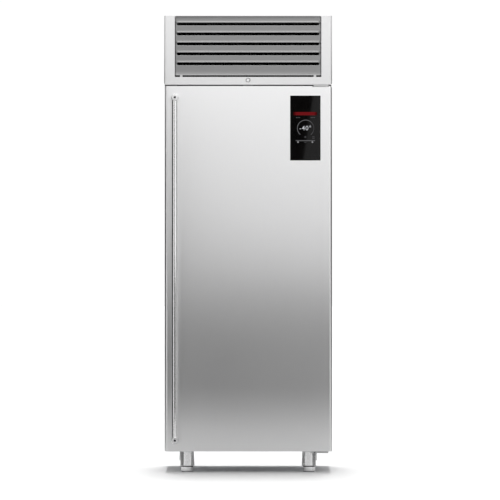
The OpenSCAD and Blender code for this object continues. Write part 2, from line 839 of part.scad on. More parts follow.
// Magnetic gasket: foot, waist and magnet pocket
module door_gasket() color(dark_grey) {
    y1 = frame_y - seat_gap;
    step = (y1 - door_back_y) / 3;
    gasket_ring(gasket_inset, gasket_w, door_back_y, door_back_y + step);
    gasket_ring(gasket_inset + 4, gasket_w - 8, door_back_y + step - eps, y1 - step + eps);
    gasket_ring(gasket_inset + 1, gasket_w - 2, y1 - step, y1);
}

// Plastic bushes pressed into the door's top and bottom
module door_bushes() color(black) {
    difference() {
        rod_z(pivot_x, pivot_y, recess_z - bush_len, recess_z, bush_r);
        rod_z(pivot_x, pivot_y, recess_z - bush_len + 2, recess_z + 1, pin_r + run_clear);
    }
    difference() {
        rod_z(pivot_x, pivot_y, door_z0, door_z0 + bush_len, bush_r);
        rod_z(pivot_x, pivot_y, door_z0 - 1, door_z0 + bush_len - 1, pin_r + run_clear);
    }
}

// ---------------------------------------------------------------- display

// Moulded tray behind the door skin, with a rim all round
module display_housing() color(black) difference() {
    y0 = glass_y1;
    y1 = y0 + display_housing_d;
    union() {
        slab([display_x0 - display_rim, y0, display_z0 - display_rim],
             [display_x1 + display_rim, y0 + 2.5, display_z1 + display_rim]);
        slab([display_x0, y0, display_z0], [display_x1, y1, display_z1]);
    }
    slab([display_x0 + display_wall, y0 + 4, display_z0 + display_wall],
         [display_x1 - display_wall, y1 - display_wall, display_z1 - display_wall]);
    slab([display_x0 + 8, y0 - 1, display_z0 + 8], [display_x1 - 8, y0 + 5, display_z1 - 8]);
}

// Black glass that covers the whole display, a little proud of the door
module display_glass() color(black)
    slab([display_x0, glass_y1 - glass_t, display_z0], [display_x1, glass_y1, display_z1]);

// Screen and board behind the glass
module display_module() color(dark_grey) {
    slab([display_x0 + 8.3, glass_y1, display_z0 + 8.3],
         [display_x1 - 8.3, glass_y1 + 4, display_z1 - 8.3]);
    slab([display_x0 + 14, glass_y1 + 4, display_z0 + 20],
         [display_x1 - 14, glass_y1 + 6, display_z1 - 20]);
}

// ---------------------------------------------------------------- handle

// Tube between the posts, its ends saddled to them
module handle_bar() color(steel) difference() {
    rod_z(handle_x, bar_y, handle_z0, handle_z1, handle_d / 2);
    rod_z(handle_x, bar_y, handle_z0 - 1, handle_z1 + 1, handle_d / 2 - handle_wall);
    for (z = [handle_z0, handle_z1])
        rod_y(handle_x, post_face_y - 1, door_y, z, post_d / 2 + 0.1);
}

// Turned posts with a bevelled face and a counterbore for the screw
module handle_posts() color(steel)
    for (z = [handle_z0, handle_z1])
        translate([handle_x, door_y, z]) rotate([90, 0, 0]) rotate_extrude() polygon([
            [handle_screw_d / 2 + 0.2, 0], [post_d / 2, 0], [post_d / 2, handle_reach - 2],
            [post_d / 2 - 2, handle_reach], [counterbore_d / 2, handle_reach],
            [counterbore_d / 2, handle_reach - screw_head_d - 3],
            [handle_screw_d / 2 + 0.2, handle_reach - screw_head_d - 3]
        ]);

// Socket head screws from the posts' faces into the door
module handle_screws() color(black)
    for (z = [handle_z0, handle_z1]) difference() {
        union() {
            rod_y(handle_x, post_face_y + 3, post_face_y + 3 + screw_head_d, z,
                  counterbore_d / 2 - 0.1);
            rod_y(handle_x, post_face_y + 3 + screw_head_d - eps,
                  door_y + sheet_t + insert_len, z, handle_screw_d / 2);
        }
        translate([handle_x, post_face_y + 3 + screw_head_d - 2, z]) rotate([90, 0, 0])
            cylinder(h = screw_head_d, r = 3, $fn = 6);
    }

// ---------------------------------------------------------------- fascia and grille

// The fascia's outline, shrunk by g, with round lower corners and upright edges
module fascia_body(g, y1, z1) {
    rc = fascia_corner_r - g;
    re = fascia_edge_r - g;
    w = overall_w / 2 - g;
    z0 = fascia_z0 + g;
    y0 = door_y + g;
    intersection() {
        along_y(y0, y1) {
            translate([-w, z0 + rc]) square([2 * w, z1 - z0 - rc]);
            translate([-w + rc, z0]) square([2 * (w - rc), z1 - z0]);
            for (s = [-1, 1]) translate([s * (w - rc), z0 + rc]) circle(rc);
        }
        translate([0, 0, z0 - 1]) linear_extrude(z1 - z0 + 2) {
            translate([-w, y0 + re]) square([2 * w, y1 - y0 - re]);
            translate([-w + re, y0]) square([2 * (w - re), y1 - y0]);
            for (s = [-1, 1]) translate([s * (w - re), y0 + re]) circle(re);
        }
    }
}

// Folded U-shaped frame round the grille, with the lock's hole and two hinge lugs
module fascia_frame() color(steel) {
    lip_y1 = grille_y - seat_gap;
    difference() {
        fascia_body(0, fascia_y1, top_z);
        fascia_body(sheet_t, fascia_y1 + 1, top_z + 1);
        slab([-grille_x, door_y - 1, grille_z0], [grille_x, door_y + sheet_t + 1, top_z + 1]);
        rod_y(0, door_y - 1, door_y + sheet_t + 1, lock_z, lock_plug_d / 2 + 2.5);
        slab([-strike_half - 8, lock_y1 - 12, fascia_z0 - 1],
             [strike_half + 8, fascia_y1 + 1, fascia_z0 + sheet_t + 1]);
    }
    for (s = [-1, 1]) {
        slab([s > 0 ? grille_x : -grille_x - sheet_t, door_y + sheet_t - eps,
              grille_z0 - sheet_t],
             [s > 0 ? grille_x + sheet_t : -grille_x, lip_y1, top_z]);
        hinge_lug(s);
    }
    slab([-grille_x, door_y + sheet_t - eps, grille_z0 - sheet_t],
         [grille_x, lip_y1, grille_z0]);
}

// Lug that joins the fascia's side strip to its hinge pin
module hinge_lug(s) {
    x0 = s > 0 ? lug_x : -lug_x - lug_t;
    lug_r = flap_pin_r + 5;
    difference() {
        union() {
            slab([x0, door_y + sheet_t - eps, flap_z - lug_r], [x0 + lug_t, flap_y, flap_z + lug_r]);
            rod_x(x0, x0 + lug_t, flap_y, flap_z, lug_r);
        }
        rod_x(x0 - 1, x0 + lug_t + 1, flap_y, flap_z, flap_pin_r + run_clear);
    }
}

// Height of each slot's middle
function louvre_z(i) = top_z - louvre_top - i * louvre_pitch;
slot_len = 2 * (grille_x - louvre_side);

// Side view of a louvre's hood above its slot, in Y and Z, shrunk by t for its inside
module hood_section(t) {
    z0 = louvre_slot_h / 2;
    out = hood_out - t;
    back = t > 0 ? grille_t + 1 : 0;
    polygon([
        [back, z0 - 2 * t], [-out, z0 - 2 * t], [-out, z0 + 2],
        [-out / 2, z0 + (hood_h - t) * 0.6], [0, z0 + hood_h - t], [back, z0 + hood_h - t]
    ]);
}

// Hood with sloping ends, shrunk by t for its inside
module hood(t) {
    half = slot_len / 2 - 4 - t;
    difference() {
        translate([-half, 0, 0]) rotate([90, 0, 90]) linear_extrude(2 * half) hood_section(t);
        for (s = [-1, 1]) translate([s * half, 0, 0]) rotate([0, 0, -s * 45])
            slab([s > 0 ? 0 : -20, -20, 0], [s > 0 ? 20 : 0, 0, 40]);
    }
}

// Louvred panel, folded back along its top, with two locating tabs
module grille_panel() color(steel_dull) {
    z0 = grille_z0 + grille_foot_gap;
    x = grille_x - grille_side_gap;
    difference() {
        union() {
            slab([-x, grille_y, z0], [x, grille_y + grille_t, top_z]);
            for (i = [0 : louvres - 1]) translate([0, grille_y + eps, louvre_z(i)]) hood(0);
        }
        for (i = [0 : louvres - 1]) {
            translate([0, 0, louvre_z(i)]) along_y(grille_y - 0.5, grille_y + grille_t + 1)
                slot_2d(slot_len, louvre_slot_h);
            translate([0, grille_y + eps, louvre_z(i)]) hood(grille_t);
        }
    }
    slab([-x, grille_y, top_z - grille_t], [x, grille_y + grille_top_fold, top_z]);
    for (s = [-1, 1])
        slab([s * (grille_x - grille_tab_x) - 6, grille_y, grille_z0 + 0.1],
             [s * (grille_x - grille_tab_x) + 6, grille_y + grille_t, z0 + 1]);
    // side flanges that stiffen the panel behind the frame's strips
    for (s = [-1, 1])
        slab([s > 0 ? x - grille_t : -x, grille_y, z0],
             [s > 0 ? x : -x + grille_t, grille_y + 18, top_z]);
}

// ---------------------------------------------------------------- lock

// Rosette and barrel, fixed in the fascia
module lock_housing() color(steel) difference() {
    union() {
        rod_y(0, door_y - 2, door_y, lock_z, lock_d / 2);
        rod_y(0, door_y - eps, lock_y1 - 2, lock_z, lock_plug_d / 2 + 2.3);
        rod_y(0, door_y + sheet_t, door_y + sheet_t + 4, lock_z, lock_plug_d / 2 + 4);
    }
    rod_y(0, door_y - 3, lock_y1, lock_z, lock_plug_d / 2 + run_clear);
}

// Turning plug with its key slot, and the cam on its tail; shown unlocked
module lock_plug() color(steel_dull) {
    difference() {
        rod_y(0, door_y - 1.6, lock_y1, lock_z, lock_plug_d / 2);
        slab([-1, door_y - 3, lock_z - 4.5], [1, door_y + 8, lock_z + 4.5]);
    }
    slab([-5, lock_y1 - eps, lock_z - 6], [cam_reach, lock_y1 + cam_t, lock_z + 6]);
}

strike_y1 = frame_y + 14;
strike_half = 24;

// Bracket in front of the deck whose lip the cam turns behind
module lock_strike() color(galvanised) {
    lip_y = lock_y1 - 3;
    slab([-strike_half, lip_y, strike_z], [strike_half, strike_y1, strike_z + 1.5]);
    slab([-strike_half, lip_y, strike_z], [strike_half, lip_y + 1.5, strike_top]);
    slab([-strike_half, strike_y1 - 1.5, deck_z], [strike_half, strike_y1, strike_z + 1.5]);
}

// ---------------------------------------------------------------- machine housing

module housing_sides() color(steel)
    for (s = [-1, 1]) mirror([s > 0 ? 0 : 1, 0, 0]) {
        slab([cab_x - sheet_t, housing_y0, deck_z], [cab_x, back_in_y, cover_z]);
        slab([cab_x - 20, housing_y0, cover_z - sheet_t],
             [cab_x - sheet_t + eps, back_in_y, cover_z]);
    }

// Back panel of the machine compartment, with rows of vents and the gland's hole
module housing_back() color(steel_dull) difference() {
    slab([-cab_x, back_in_y, deck_z], [cab_x, back_y, cover_z]);
    for (row = [0 : 7], column = [-1, 0, 1])
        translate([column * 200 + 60, 0, deck_z + 130 + row * 20])
            along_y(back_in_y - 1, back_y + 1) slot_2d(170, 7);
    rod_y(gland_spot.x, back_in_y - 1, back_y + 1, gland_spot.y, gland_bore_r + 4);
}

// Top cover with exhaust slots over the fan and the compressor
module housing_top() color(steel) difference() {
    slab([-cab_x, housing_y0, cover_z], [cab_x, back_y, top_z]);
    for (row = [0 : 9], column = [-1, 0, 1])
        translate([column * 230, back_y - 90 - row * 24, cover_z - 1])
            linear_extrude(sheet_t + 2) slot_2d(190, 9);
}

// Tray that carries the condensing unit
module unit_base() color(galvanised) difference() {
    slab([-cab_x + 20, housing_y0 + 10, deck_z], [cab_x - 20, back_y - 20, deck_top]);
    slab([recess_x0, frame_y, deck_z - 1],
         [cab_x, frame_y + plate_tail + 3, deck_top + 1]);
    slab([-strike_half - 3, frame_y, deck_z - 1], [strike_half + 3, strike_y1 + 2, deck_top + 1]);
    line_passages();
}

bracket_len = 30;

// Brackets inside the side panels that carry the fascia's hinge pins
module flap_brackets() color(galvanised)
    for (s = [-1, 1]) mirror([s > 0 ? 0 : 1, 0, 0]) {
        slab([flap_plate_x, flap_y - 9, flap_z - 9],
             [flap_plate_x + 6, housing_y0 + bracket_len, flap_z + 8]);
        rod_x(lug_x - 4, flap_plate_x + eps, flap_y, flap_z, flap_pin_r);
    }

// ---------------------------------------------------------------- fans

// Outline of a blade, root at the origin, tip towards +X
module blade_2d(reach) {
    polygon(concat(
        [for (i = [0 : 8]) let (t = i / 8) [t * reach, -10 - 26 * t + 8 * t * t]],
        [for (i = [8 : -1 : 0]) let (t = i / 8) [t * reach, 12 + 22 * sin(90 * t)]]
    ));
}

fan_depth = 30;                      // room along the axis that the blades need
fan_y0 = 6;                          // from the wall's front face to the blades
hub_y1 = fan_y0 + fan_depth - 2;     // back of the hub
motor_y0 = hub_y1 + 8;
motor_len = 50;

// Bladed wheel for a fan whose wall's front face is at y = 0, blowing along Y
module fan_wheel() color(dark_grey) {
    tip_r = fan_open_r - fan_tip_gap;
    mid = fan_y0 + fan_depth / 2;
    difference() {
        union() {
            rod_y(0, fan_y0 + 3, hub_y1, 0, hub_r);
            intersection() {
                rod_y(0, fan_y0, fan_y0 + fan_depth, 0, tip_r);
                translate([0, mid, 0]) rotate([90, 0, 0])
                    for (i = [0 : blades - 1]) rotate([0, 0, i * 360 / blades])
                        translate([hub_r - 4, 0, 0]) rotate([blade_pitch, 0, 0])
                            linear_extrude(2, center = true) blade_2d(tip_r - hub_r + 12);
            }
        }
        rod_y(0, fan_y0 + 9, hub_y1 + 1, 0, shaft_r + run_clear);
    }
}

shaft_r = 4;
arm_r = 4;
arm_reach = fan_open_r + 10;

// Motor with its shaft and three bracket arms that stand on a wall of thickness t
module fan_motor(t) color(black) {
    arm_y = motor_y0 + motor_len / 2;
    rod_y(0, motor_y0, motor_y0 + motor_len, 0, motor_r);
    rod_y(0, fan_y0 + 10, motor_y0 + 1, 0, shaft_r);
    for (a = [90, 210, 330]) rotate([0, a, 0]) {
        rod_x(motor_r - 4, arm_reach, arm_y, 0, arm_r);
        rod_y(arm_reach, t, arm_y, 0, arm_r);
        translate([arm_reach, arm_y, 0]) sphere(arm_r);
        rod_y(arm_reach, t, t + 3, 0, arm_r + 4);
    }
}

// Guard of flat rings on three round stays, in front of a wall at y = 0
module fan_guard() color(steel) {
    wire = 3;
    stay_r = 2;
    for (r = [26 : 20 : fan_open_r + 4]) difference() {
        rod_y(0, -stay_r - wire, -stay_r, 0, r + wire / 2);
        rod_y(0, -stay_r - wire - 1, 1 - stay_r, 0, r - wire / 2);
    }
    for (a = [0, 60, 120]) rotate([0, a, 0])
        rod_x(-fan_open_r - 12, fan_open_r + 12, -stay_r, 0, stay_r);
}

// ---------------------------------------------------------------- evaporator

// Panel with the fan openings and return-air slots, folded back to the rear wall at both sides
module fan_panel() color(steel) {
    z0 = chamber_z0 + 32;
    z1 = chamber_z1 - 31;
    difference() {
        slab([-box_x, panel_y, z0], [box_x, panel_y + box_t, z1]);
        for (z = fan_spots) rod_y(0, panel_y - 1, panel_y + box_t + 1, z, fan_open_r);
        for (z = fan_spots, s = [-1, 1], row = [-4 : 4])
            translate([s * (box_x - 75), 0, z + row * 26])
                along_y(panel_y - 1, panel_y + box_t + 1) slot_2d(90, 9);
    }
    for (s = [-1, 1])
        slab([s > 0 ? box_x - box_t : -box_x, panel_y, z0],
             [s > 0 ? box_x : -box_x + box_t, chamber_y1 - seat_gap, z1]);
}

module evaporator_fan_guards()
    for (z = fan_spots) translate([0, panel_y, z]) fan_guard();

module evaporator_fan_motors()
    for (z = fan_spots) translate([0, panel_y, z]) fan_motor(box_t);

module evaporator_fan(i) translate([0, panel_y, fan_spots[i]]) fan_wheel();

// Finned coil with tubes along X in rows: low and high corners, fins, rows
module finned_coil(low, high, pitch, tube_y, tube_z, plate_back) {
    n = floor((high.x - low.x - 5) / pitch);
    first = (low.x + high.x - n * pitch) / 2;
    for (i = [0 : n])
        slab([first + i * pitch - fin_t / 2, low.y, low.z],
             [first + i * pitch + fin_t / 2, high.y, high.z]);
    for (x = [low.x, high.x - 2])
        slab([x, low.y, low.z], [x + 2, high.y + plate_back, high.z]);
    for (z = [low.z, high.z - 2]) slab([low.x, low.y, z], [high.x, high.y, z + 2]);
    for (y = tube_y, z = tube_z) rod_x(low.x - 6, high.x + 6, y, z, coil_tube_r);
    // return bends between the rows
    for (z = tube_z, s = [-1, 1]) translate([s > 0 ? high.x + 6 : low.x - 6, 0, z])
        translate([0, (tube_y[0] + tube_y[1]) / 2, 0]) rotate([0, 0, s > 0 ? -90 : 90])
            rotate_extrude(angle = 180)
                translate([(tube_y[1] - tube_y[0]) / 2, 0]) circle(coil_tube_r);
}

module evaporator_coil() color(fin_grey) {
    rows = 8;
    gap = (coil_z1 - coil_z0) / rows;
    finned_coil([-evaporator_w / 2, coil_y0, coil_z0],
                [evaporator_w / 2, coil_y0 + evaporator_d, coil_z1],
                evaporator_fin_pitch,
                [coil_y0 + evaporator_d * 0.3, coil_y0 + evaporator_d * 0.7],
                [for (i = [0 : rows - 1]) coil_z0 + gap * (i + 0.5)],
                chamber_y1 - seat_gap - coil_y0 - evaporator_d);
}

tray_h = 22;
tray_gap = 8;                                // between the coil and the tray's rim

// Pan under the coil, open at its spout over the floor drain
module drip_tray() color(steel) {
    z0 = coil_z0 - tray_gap - tray_h;
    x = box_x - box_t - seat_gap;
    difference() {
        slab([-x, coil_y0 - 12, z0], [x, chamber_y1 - seat_gap, z0 + tray_h]);
        slab([-x + 1.5, coil_y0 - 10.5, z0 + 1.5],
             [x - 1.5, chamber_y1 - seat_gap - 1.5, z0 + tray_h + 1]);
        rod_z(drain_spot.x, drain_spot.y, z0 - 1, z0 + 2, 9);
    }
    difference() {
        rod_z(drain_spot.x, drain_spot.y, z0 - 14, z0 + eps, 9);
        rod_z(drain_spot.x, drain_spot.y, z0 - 15, z0 + 2, 7.5);
    }
}

// ---------------------------------------------------------------- tray racks

// Slotted uprights against the side walls
module rack_uprights() color(steel)
    for (s = [-1, 1], y = upright_spots) mirror([s > 0 ? 0 : 1, 0, 0]) difference() {
        slab([rack_x, y, upright_z0], [chamber_x, y + upright_w, upright_z1]);
        slab([rack_x + rack_t, y + rack_t, upright_z0 - 1],
             [chamber_x + 1, y + upright_w - rack_t, upright_z1 + 1]);
        for (i = [slot_low : slot_high]) translate([0, 0, first_slot_z + i * slot_pitch])
            slab([rack_x - 1, y + 6 - seat_gap, -hook_h / 2 - seat_gap],
                 [rack_x + rack_t + 1, y + upright_w - 6 + seat_gap, hook_h / 2 + seat_gap]);
    }

// One runner on the +X side: ledge, web and two hooks in the uprights' slots
module tray_runner(z) {
    slab([rack_x - runner_ledge, runner_y0, z - rack_t], [rack_x, runner_y0 + runner_len, z]);
    slab([rack_x - rack_t, runner_y0, z - runner_web], [rack_x, runner_y0 + runner_len, z]);
    for (y = upright_spots)
        slab([rack_x - eps, y + 6, z - runner_web / 2 - hook_h / 2],
             [rack_x + rack_t + 4, y + upright_w - 6, z - runner_web / 2 + hook_h / 2]);
}

module tray_runners() color(steel)
    for (s = [-1, 1], i = [0 : pairs - 1])
        mirror([s > 0 ? 0 : 1, 0, 0]) tray_runner(runner_z0 + i * runner_pitch);

// ---------------------------------------------------------------- condensing unit

condenser_rows = 6;
condenser_foot_w = 30;
collar_len = 38;                             // round the condenser fan's opening
condenser_row_gap = condenser_h / condenser_rows;

module condenser_coil() color(fin_grey) {
    finned_coil([condenser_x0, condenser_y0, condenser_z0],
                [condenser_x1, condenser_y0 + condenser_d, condenser_z1],
                condenser_fin_pitch,
                [condenser_y0 + condenser_d * 0.3, condenser_y0 + condenser_d * 0.7],
                [for (i = [0 : condenser_rows - 1])
                    condenser_z0 + condenser_row_gap * (i + 0.5)], 0);
    // feet on the deck
    for (x = [condenser_x0, condenser_x1 - condenser_foot_w])
        slab([x, condenser_y0, deck_top],
             [x + condenser_foot_w, condenser_y0 + condenser_d, condenser_z0 + eps]);
}

// Sheet box behind the condenser, with the fan's opening and its collar
module condenser_shroud() color(galvanised) {
    difference() {
        slab([condenser_x0, shroud_y0, condenser_z0], [condenser_x1, shroud_wall_y, condenser_z1]);
        slab([condenser_x0 + shroud_t, shroud_y0 - 1, condenser_z0 + shroud_t],
             [condenser_x1 - shroud_t, shroud_wall_y - shroud_t, condenser_z1 - shroud_t]);
        rod_y(condenser_fan_x, shroud_y0, shroud_wall_y + 1, condenser_fan_z, fan_open_r);
    }
    difference() {
        rod_y(condenser_fan_x, shroud_wall_y - eps, shroud_wall_y + collar_len, condenser_fan_z,
              fan_open_r + 1.5);
        rod_y(condenser_fan_x, shroud_wall_y - 1, shroud_wall_y + collar_len + 1, condenser_fan_z,
              fan_open_r);
    }
}

module condenser_fan_motor() translate([condenser_fan_x, shroud_wall_y, condenser_fan_z])
    fan_motor(0);

module condenser_fan() translate([condenser_fan_x, shroud_wall_y, condenser_fan_z]) fan_wheel();

compressor_foot_t = 4;
bolt_hole_r = 6;

// Welded hermetic shell with foot plates and a terminal box
module compressor() color(black) translate([compressor_spot.x, compressor_spot.y, compressor_z0]) {
    r = compressor_r;
    h = compressor_h;
    dome = compressor_dome;
    rotate_extrude() polygon(concat(
        [[0, 0], [r * 0.5, 0]],
        [for (a = [-60 : 15 : 0]) [r * cos(a), dome * 0.9 + dome * sin(a)]],
        [[r, h / 2 - 8], [r + 4, h / 2 - 6], [r + 4, h / 2 + 2], [r, h / 2 + 4]],
        [for (a = [0 : 15 : 75]) [r * cos(a), h - dome + dome * sin(a)]],
        [[0, h]]
    ));
    // foot plates welded under the shell
    for (a = [45 : 90 : 315]) rotate([0, 0, a]) difference() {
        slab([r * 0.4, -compressor_foot_w / 2, 0],
             [r + 2.2 * mount_out, compressor_foot_w / 2, compressor_foot_t]);
        rod_z(r + mount_out, 0, -1, compressor_foot_t + 1, bolt_hole_r);
    }
    slab([r - 8, -32, h * 0.3], [r + 22, 32, h * 0.62]);
}

// Rubber mounts under the compressor's feet, each with its bolt
module compressor_mounts() color(dark_grey)
    for (a = [45 : 90 : 315]) translate([compressor_spot.x, compressor_spot.y, 0])
        rotate([0, 0, a]) translate([compressor_r + mount_out, 0, 0]) {
            rod_z(0, 0, deck_top, compressor_z0, mount_out + 1);
            rod_z(0, 0, compressor_z0 - eps, compressor_z0 + compressor_foot_t + 6,
                  bolt_hole_r - seat_gap);
        }

// Horizontal receiver on two saddles
module liquid_receiver() color(black) {
    p = receiver_spot;
    rod_x(p.x - receiver_len / 2, p.x + receiver_len / 2, p.y, p.z, receiver_r);
    for (dx = [-0.3, 0.3])
        slab([p.x + dx * receiver_len - 12, p.y - receiver_r * 0.7, deck_top],
             [p.x + dx * receiver_len + 12, p.y + receiver_r * 0.7, p.z]);
    rod_z(liquid_out_x, p.y, p.z, p.z + receiver_r + 6, line_r + 3);
}

liquid_out_x = receiver_spot.x + receiver_len / 2 - 50;

// Filter drier with necked ends
module filter_drier() color(copper)
    translate([drier_x0, receiver_spot.y, drier_z]) rotate([0, 90, 0]) rotate_extrude()
        polygon([[0, 0], [line_r + 2, 0], [drier_r, 14], [drier_r, drier_len - 14],
                 [line_r + 2, drier_len], [0, drier_len]]);

condenser_port_y = condenser_y0 + condenser_d * 0.3;
compressor_port_z = compressor_z0 + compressor_h * 0.6;
discharge_z = condenser_z1 - condenser_row_gap;
outlet_z = condenser_z0 + condenser_row_gap;

// Hot gas from the compressor to the condenser
module discharge_line() color(copper)
    pipe([
        [compressor_spot.x, compressor_spot.y - compressor_r - seat_gap, compressor_port_z],
        [compressor_spot.x, compressor_spot.y - compressor_r - 2 * bend_r, compressor_port_z],
        [compressor_spot.x, compressor_spot.y - compressor_r - 2 * bend_r, discharge_z],
        [compressor_spot.x, condenser_port_y, discharge_z],
        [condenser_x1 + seat_gap, condenser_port_y, discharge_z]
    ], line_r, bend_r);

// Condensed liquid to the receiver, then through the drier to the evaporator
module liquid_line() color(copper) {
    lane_x = compressor_spot.x - compressor_r - 30;
    turn_y = compressor_spot.y - compressor_r - 50;
    pipe([
        [condenser_x1 + seat_gap, condenser_port_y, outlet_z],
        [condenser_x1 + bend_r + 4, condenser_port_y, outlet_z],
        [condenser_x1 + bend_r + 4, turn_y, outlet_z],
        [lane_x, turn_y, outlet_z],
        [lane_x, receiver_spot.y, outlet_z],
        [receiver_spot.x + receiver_len / 2 + seat_gap, receiver_spot.y, outlet_z]
    ], line_r, bend_r);
    pipe([
        [liquid_out_x, receiver_spot.y, receiver_spot.z + receiver_r + 6 + seat_gap],
        [liquid_out_x, receiver_spot.y, drier_z],
        [drier_x0 - seat_gap, receiver_spot.y, drier_z]
    ], line_r, bend_r);
    pipe([
        [drier_x0 + drier_len + seat_gap, receiver_spot.y, drier_z],
        [liquid_spot.x, liquid_spot.y, drier_z],
        [liquid_spot.x, liquid_spot.y, coil_z1 + seat_gap]
    ], line_r, bend_r);
}

// Cold gas from the evaporator back to the compressor
module suction_line() color(copper)
    pipe([
        [suction_spot.x, suction_spot.y, coil_z1 + seat_gap],
        [suction_spot.x, suction_spot.y, compressor_z0 + compressor_h * 0.75],
        [suction_spot.x, compressor_spot.y + compressor_r + seat_gap,
         compressor_z0 + compressor_h * 0.75]
    ], suction_r, bend_r);

// Electrical box with a flanged lid
module control_box() color(galvanised) {
    low = [-cab_x + electrics_side, shroud_wall_y + electrics_back, deck_top];
    high = low + [electrics_w, electrics_d, electrics_h];
    difference() {
        slab(low, high);
        slab(low + [1.5, 1.5, 1.5], high - [1.5, 1.5, -1]);
    }
    slab([low.x - 3, low.y - 3, high.z], [high.x + 3, high.y + 3, high.z + 1.5]);
}

// Hexagonal gland with its nut inside the back panel
module cable_gland() color(black) difference() {
    union() {
        rod_y(gland_spot.x, back_in_y - 10, rear_y, gland_spot.y, gland_bore_r + 3.7);
        translate([gland_spot.x, back_y + 9, gland_spot.y]) rotate([90, 0, 0])
            cylinder(h = 9, r = gland_bore_r + 7, $fn = 6);
        translate([gland_spot.x, back_in_y, gland_spot.y]) rotate([90, 0, 0])
            cylinder(h = 6, r = gland_bore_r + 7, $fn = 6);
    }
    rod_y(gland_spot.x, back_in_y - 11, rear_y + 1, gland_spot.y, gland_bore_r);
}

// ---------------------------------------------------------------- assembly

outer_shell();
back_panel();
base_panel();
insulation();
inner_liner();
breaker_frame();
leg_sleeves();
drain_tube();
hinge_plate_upper();
hinge_plate_lower();
hinge_pins();
door_sensor();
rack_uprights();
tray_runners();
fan_panel();
evaporator_fan_guards();
evaporator_fan_motors();
evaporator_coil();
drip_tray();
unit_base();
housing_sides();
housing_back();
housing_top();
flap_brackets();
lock_strike();
condenser_coil();
condenser_shroud();
condenser_fan_motor();
compressor();
compressor_mounts();
liquid_receiver();
filter_drier();
discharge_line();
liquid_line();
suction_line();
control_box();
cable_gland();
levelling_foot(0);  // foot_front_left
levelling_foot(1);  // foot_front_right
levelling_foot(2);  // foot_rear_left
levelling_foot(3);  // foot_rear_right
evaporator_fan(0);  // evaporator_fan_1
evaporator_fan(1);  // evaporator_fan_2
evaporator_fan(2);  // evaporator_fan_3
condenser_fan();
door_skin();
door_foam();
door_liner();
door_gasket();
door_bushes();
display_housing();
display_glass();
display_module();
handle_bar();
handle_posts();
handle_screws();
fascia_frame();
grille_panel();
lock_housing();
lock_plug();
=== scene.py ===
# %% [markdown]
# # A blast chiller in brushed stainless steel
# The cabinet comes built to size in model.glb: every sheet, hinge and foot is already in place.
# This lesson dresses it. We load the imported model as a fixed frame, give each of its nodes a
# finish, and model again, with softer edges, the pieces that the camera sees best.
# Lengths are in metres. The floor is at Z = 0, the door faces -Y and is hinged at +X.

# %% Load the frame
import math

import bmesh
import bpy
from mathutils import Matrix, Vector


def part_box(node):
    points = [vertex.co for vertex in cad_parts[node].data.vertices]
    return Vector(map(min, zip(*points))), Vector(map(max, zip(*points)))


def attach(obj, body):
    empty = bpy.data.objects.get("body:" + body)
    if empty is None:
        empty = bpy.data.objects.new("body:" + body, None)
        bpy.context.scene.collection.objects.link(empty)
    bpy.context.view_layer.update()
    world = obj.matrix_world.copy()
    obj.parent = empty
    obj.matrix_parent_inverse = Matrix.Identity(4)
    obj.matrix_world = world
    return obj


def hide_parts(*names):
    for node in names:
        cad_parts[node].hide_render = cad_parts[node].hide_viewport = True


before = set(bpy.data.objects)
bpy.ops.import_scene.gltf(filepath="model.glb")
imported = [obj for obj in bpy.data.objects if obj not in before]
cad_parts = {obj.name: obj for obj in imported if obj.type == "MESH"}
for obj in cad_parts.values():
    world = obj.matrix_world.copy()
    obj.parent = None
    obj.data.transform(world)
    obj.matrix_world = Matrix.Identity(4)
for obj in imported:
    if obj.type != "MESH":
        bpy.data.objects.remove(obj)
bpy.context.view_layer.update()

# %% [markdown]
# ## Camera
# The photograph is square on, with almost no perspective, so it was taken from far away with a
# long lens. The floor under the cabinet is seen so flat that the distance must be about 25 m. A
# frame that is 2.32 m wide there shows 4.64 mm in each of 500 pixels, as the photograph does.

# %% Camera
DOOR_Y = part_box("door_skin")[0].y
SHOT_DISTANCE = 25.0
SHOT_WIDTH = 2.32
SHOT_CENTRE = (0.009, 1.033)
SIGHT_LIMIT = 100.0
SENSOR = 36.0

camera = bpy.data.objects.new("camera", bpy.data.cameras.new("camera"))
camera.data.sensor_width = SENSOR
camera.data.lens = SENSOR * SHOT_DISTANCE / SHOT_WIDTH
camera.data.clip_end = SIGHT_LIMIT
camera.location = (SHOT_CENTRE[0], DOOR_Y - SHOT_DISTANCE, SHOT_CENTRE[1])
camera.rotation_euler = (math.radians(90), 0, 0)
bpy.context.scene.collection.objects.link(camera)
bpy.context.scene.camera = camera
print("lens", round(camera.data.lens, 1), "mm")

# %% [markdown]
# ## Shader arithmetic
# Most finishes here are a plain value plus a little variation. Written as nodes that takes a
# dozen clicks, so we wrap a node's output in a small class that can be added and multiplied like
# a number. Each sum then adds its own Math node. `|` joins two masks, and `<` makes one.

# %% Wire


class Wire:
    """A node's output that is used in sums, as a plain number is."""

    def __init__(self, wiring, socket):
        self.wiring = wiring
        self.socket = socket

    def beside(self, name):
        """Another output of the same node."""
        return Wire(self.wiring, self.socket.node.outputs[name])

    def math(self, operation, other):
        return self.wiring.node("ShaderNodeMath", {"operation": operation}, {0: self, 1: other})

    def __add__(self, other):
        return self.math("ADD", other)

    def __mul__(self, other):
        return self.math("MULTIPLY", other)

    def __or__(self, other):
        return self.math("MAXIMUM", other)

    def __lt__(self, other):
        return self.math("LESS_THAN", other)

    __radd__ = __add__
    __rmul__ = __mul__


# %% [markdown]
# Every other node comes from one method, `node`. A `Wiring` is the node tree of a material or of
# the world, and a `Finish` is a material with the few patterns that this lesson needs.

# %% Wiring and Finish


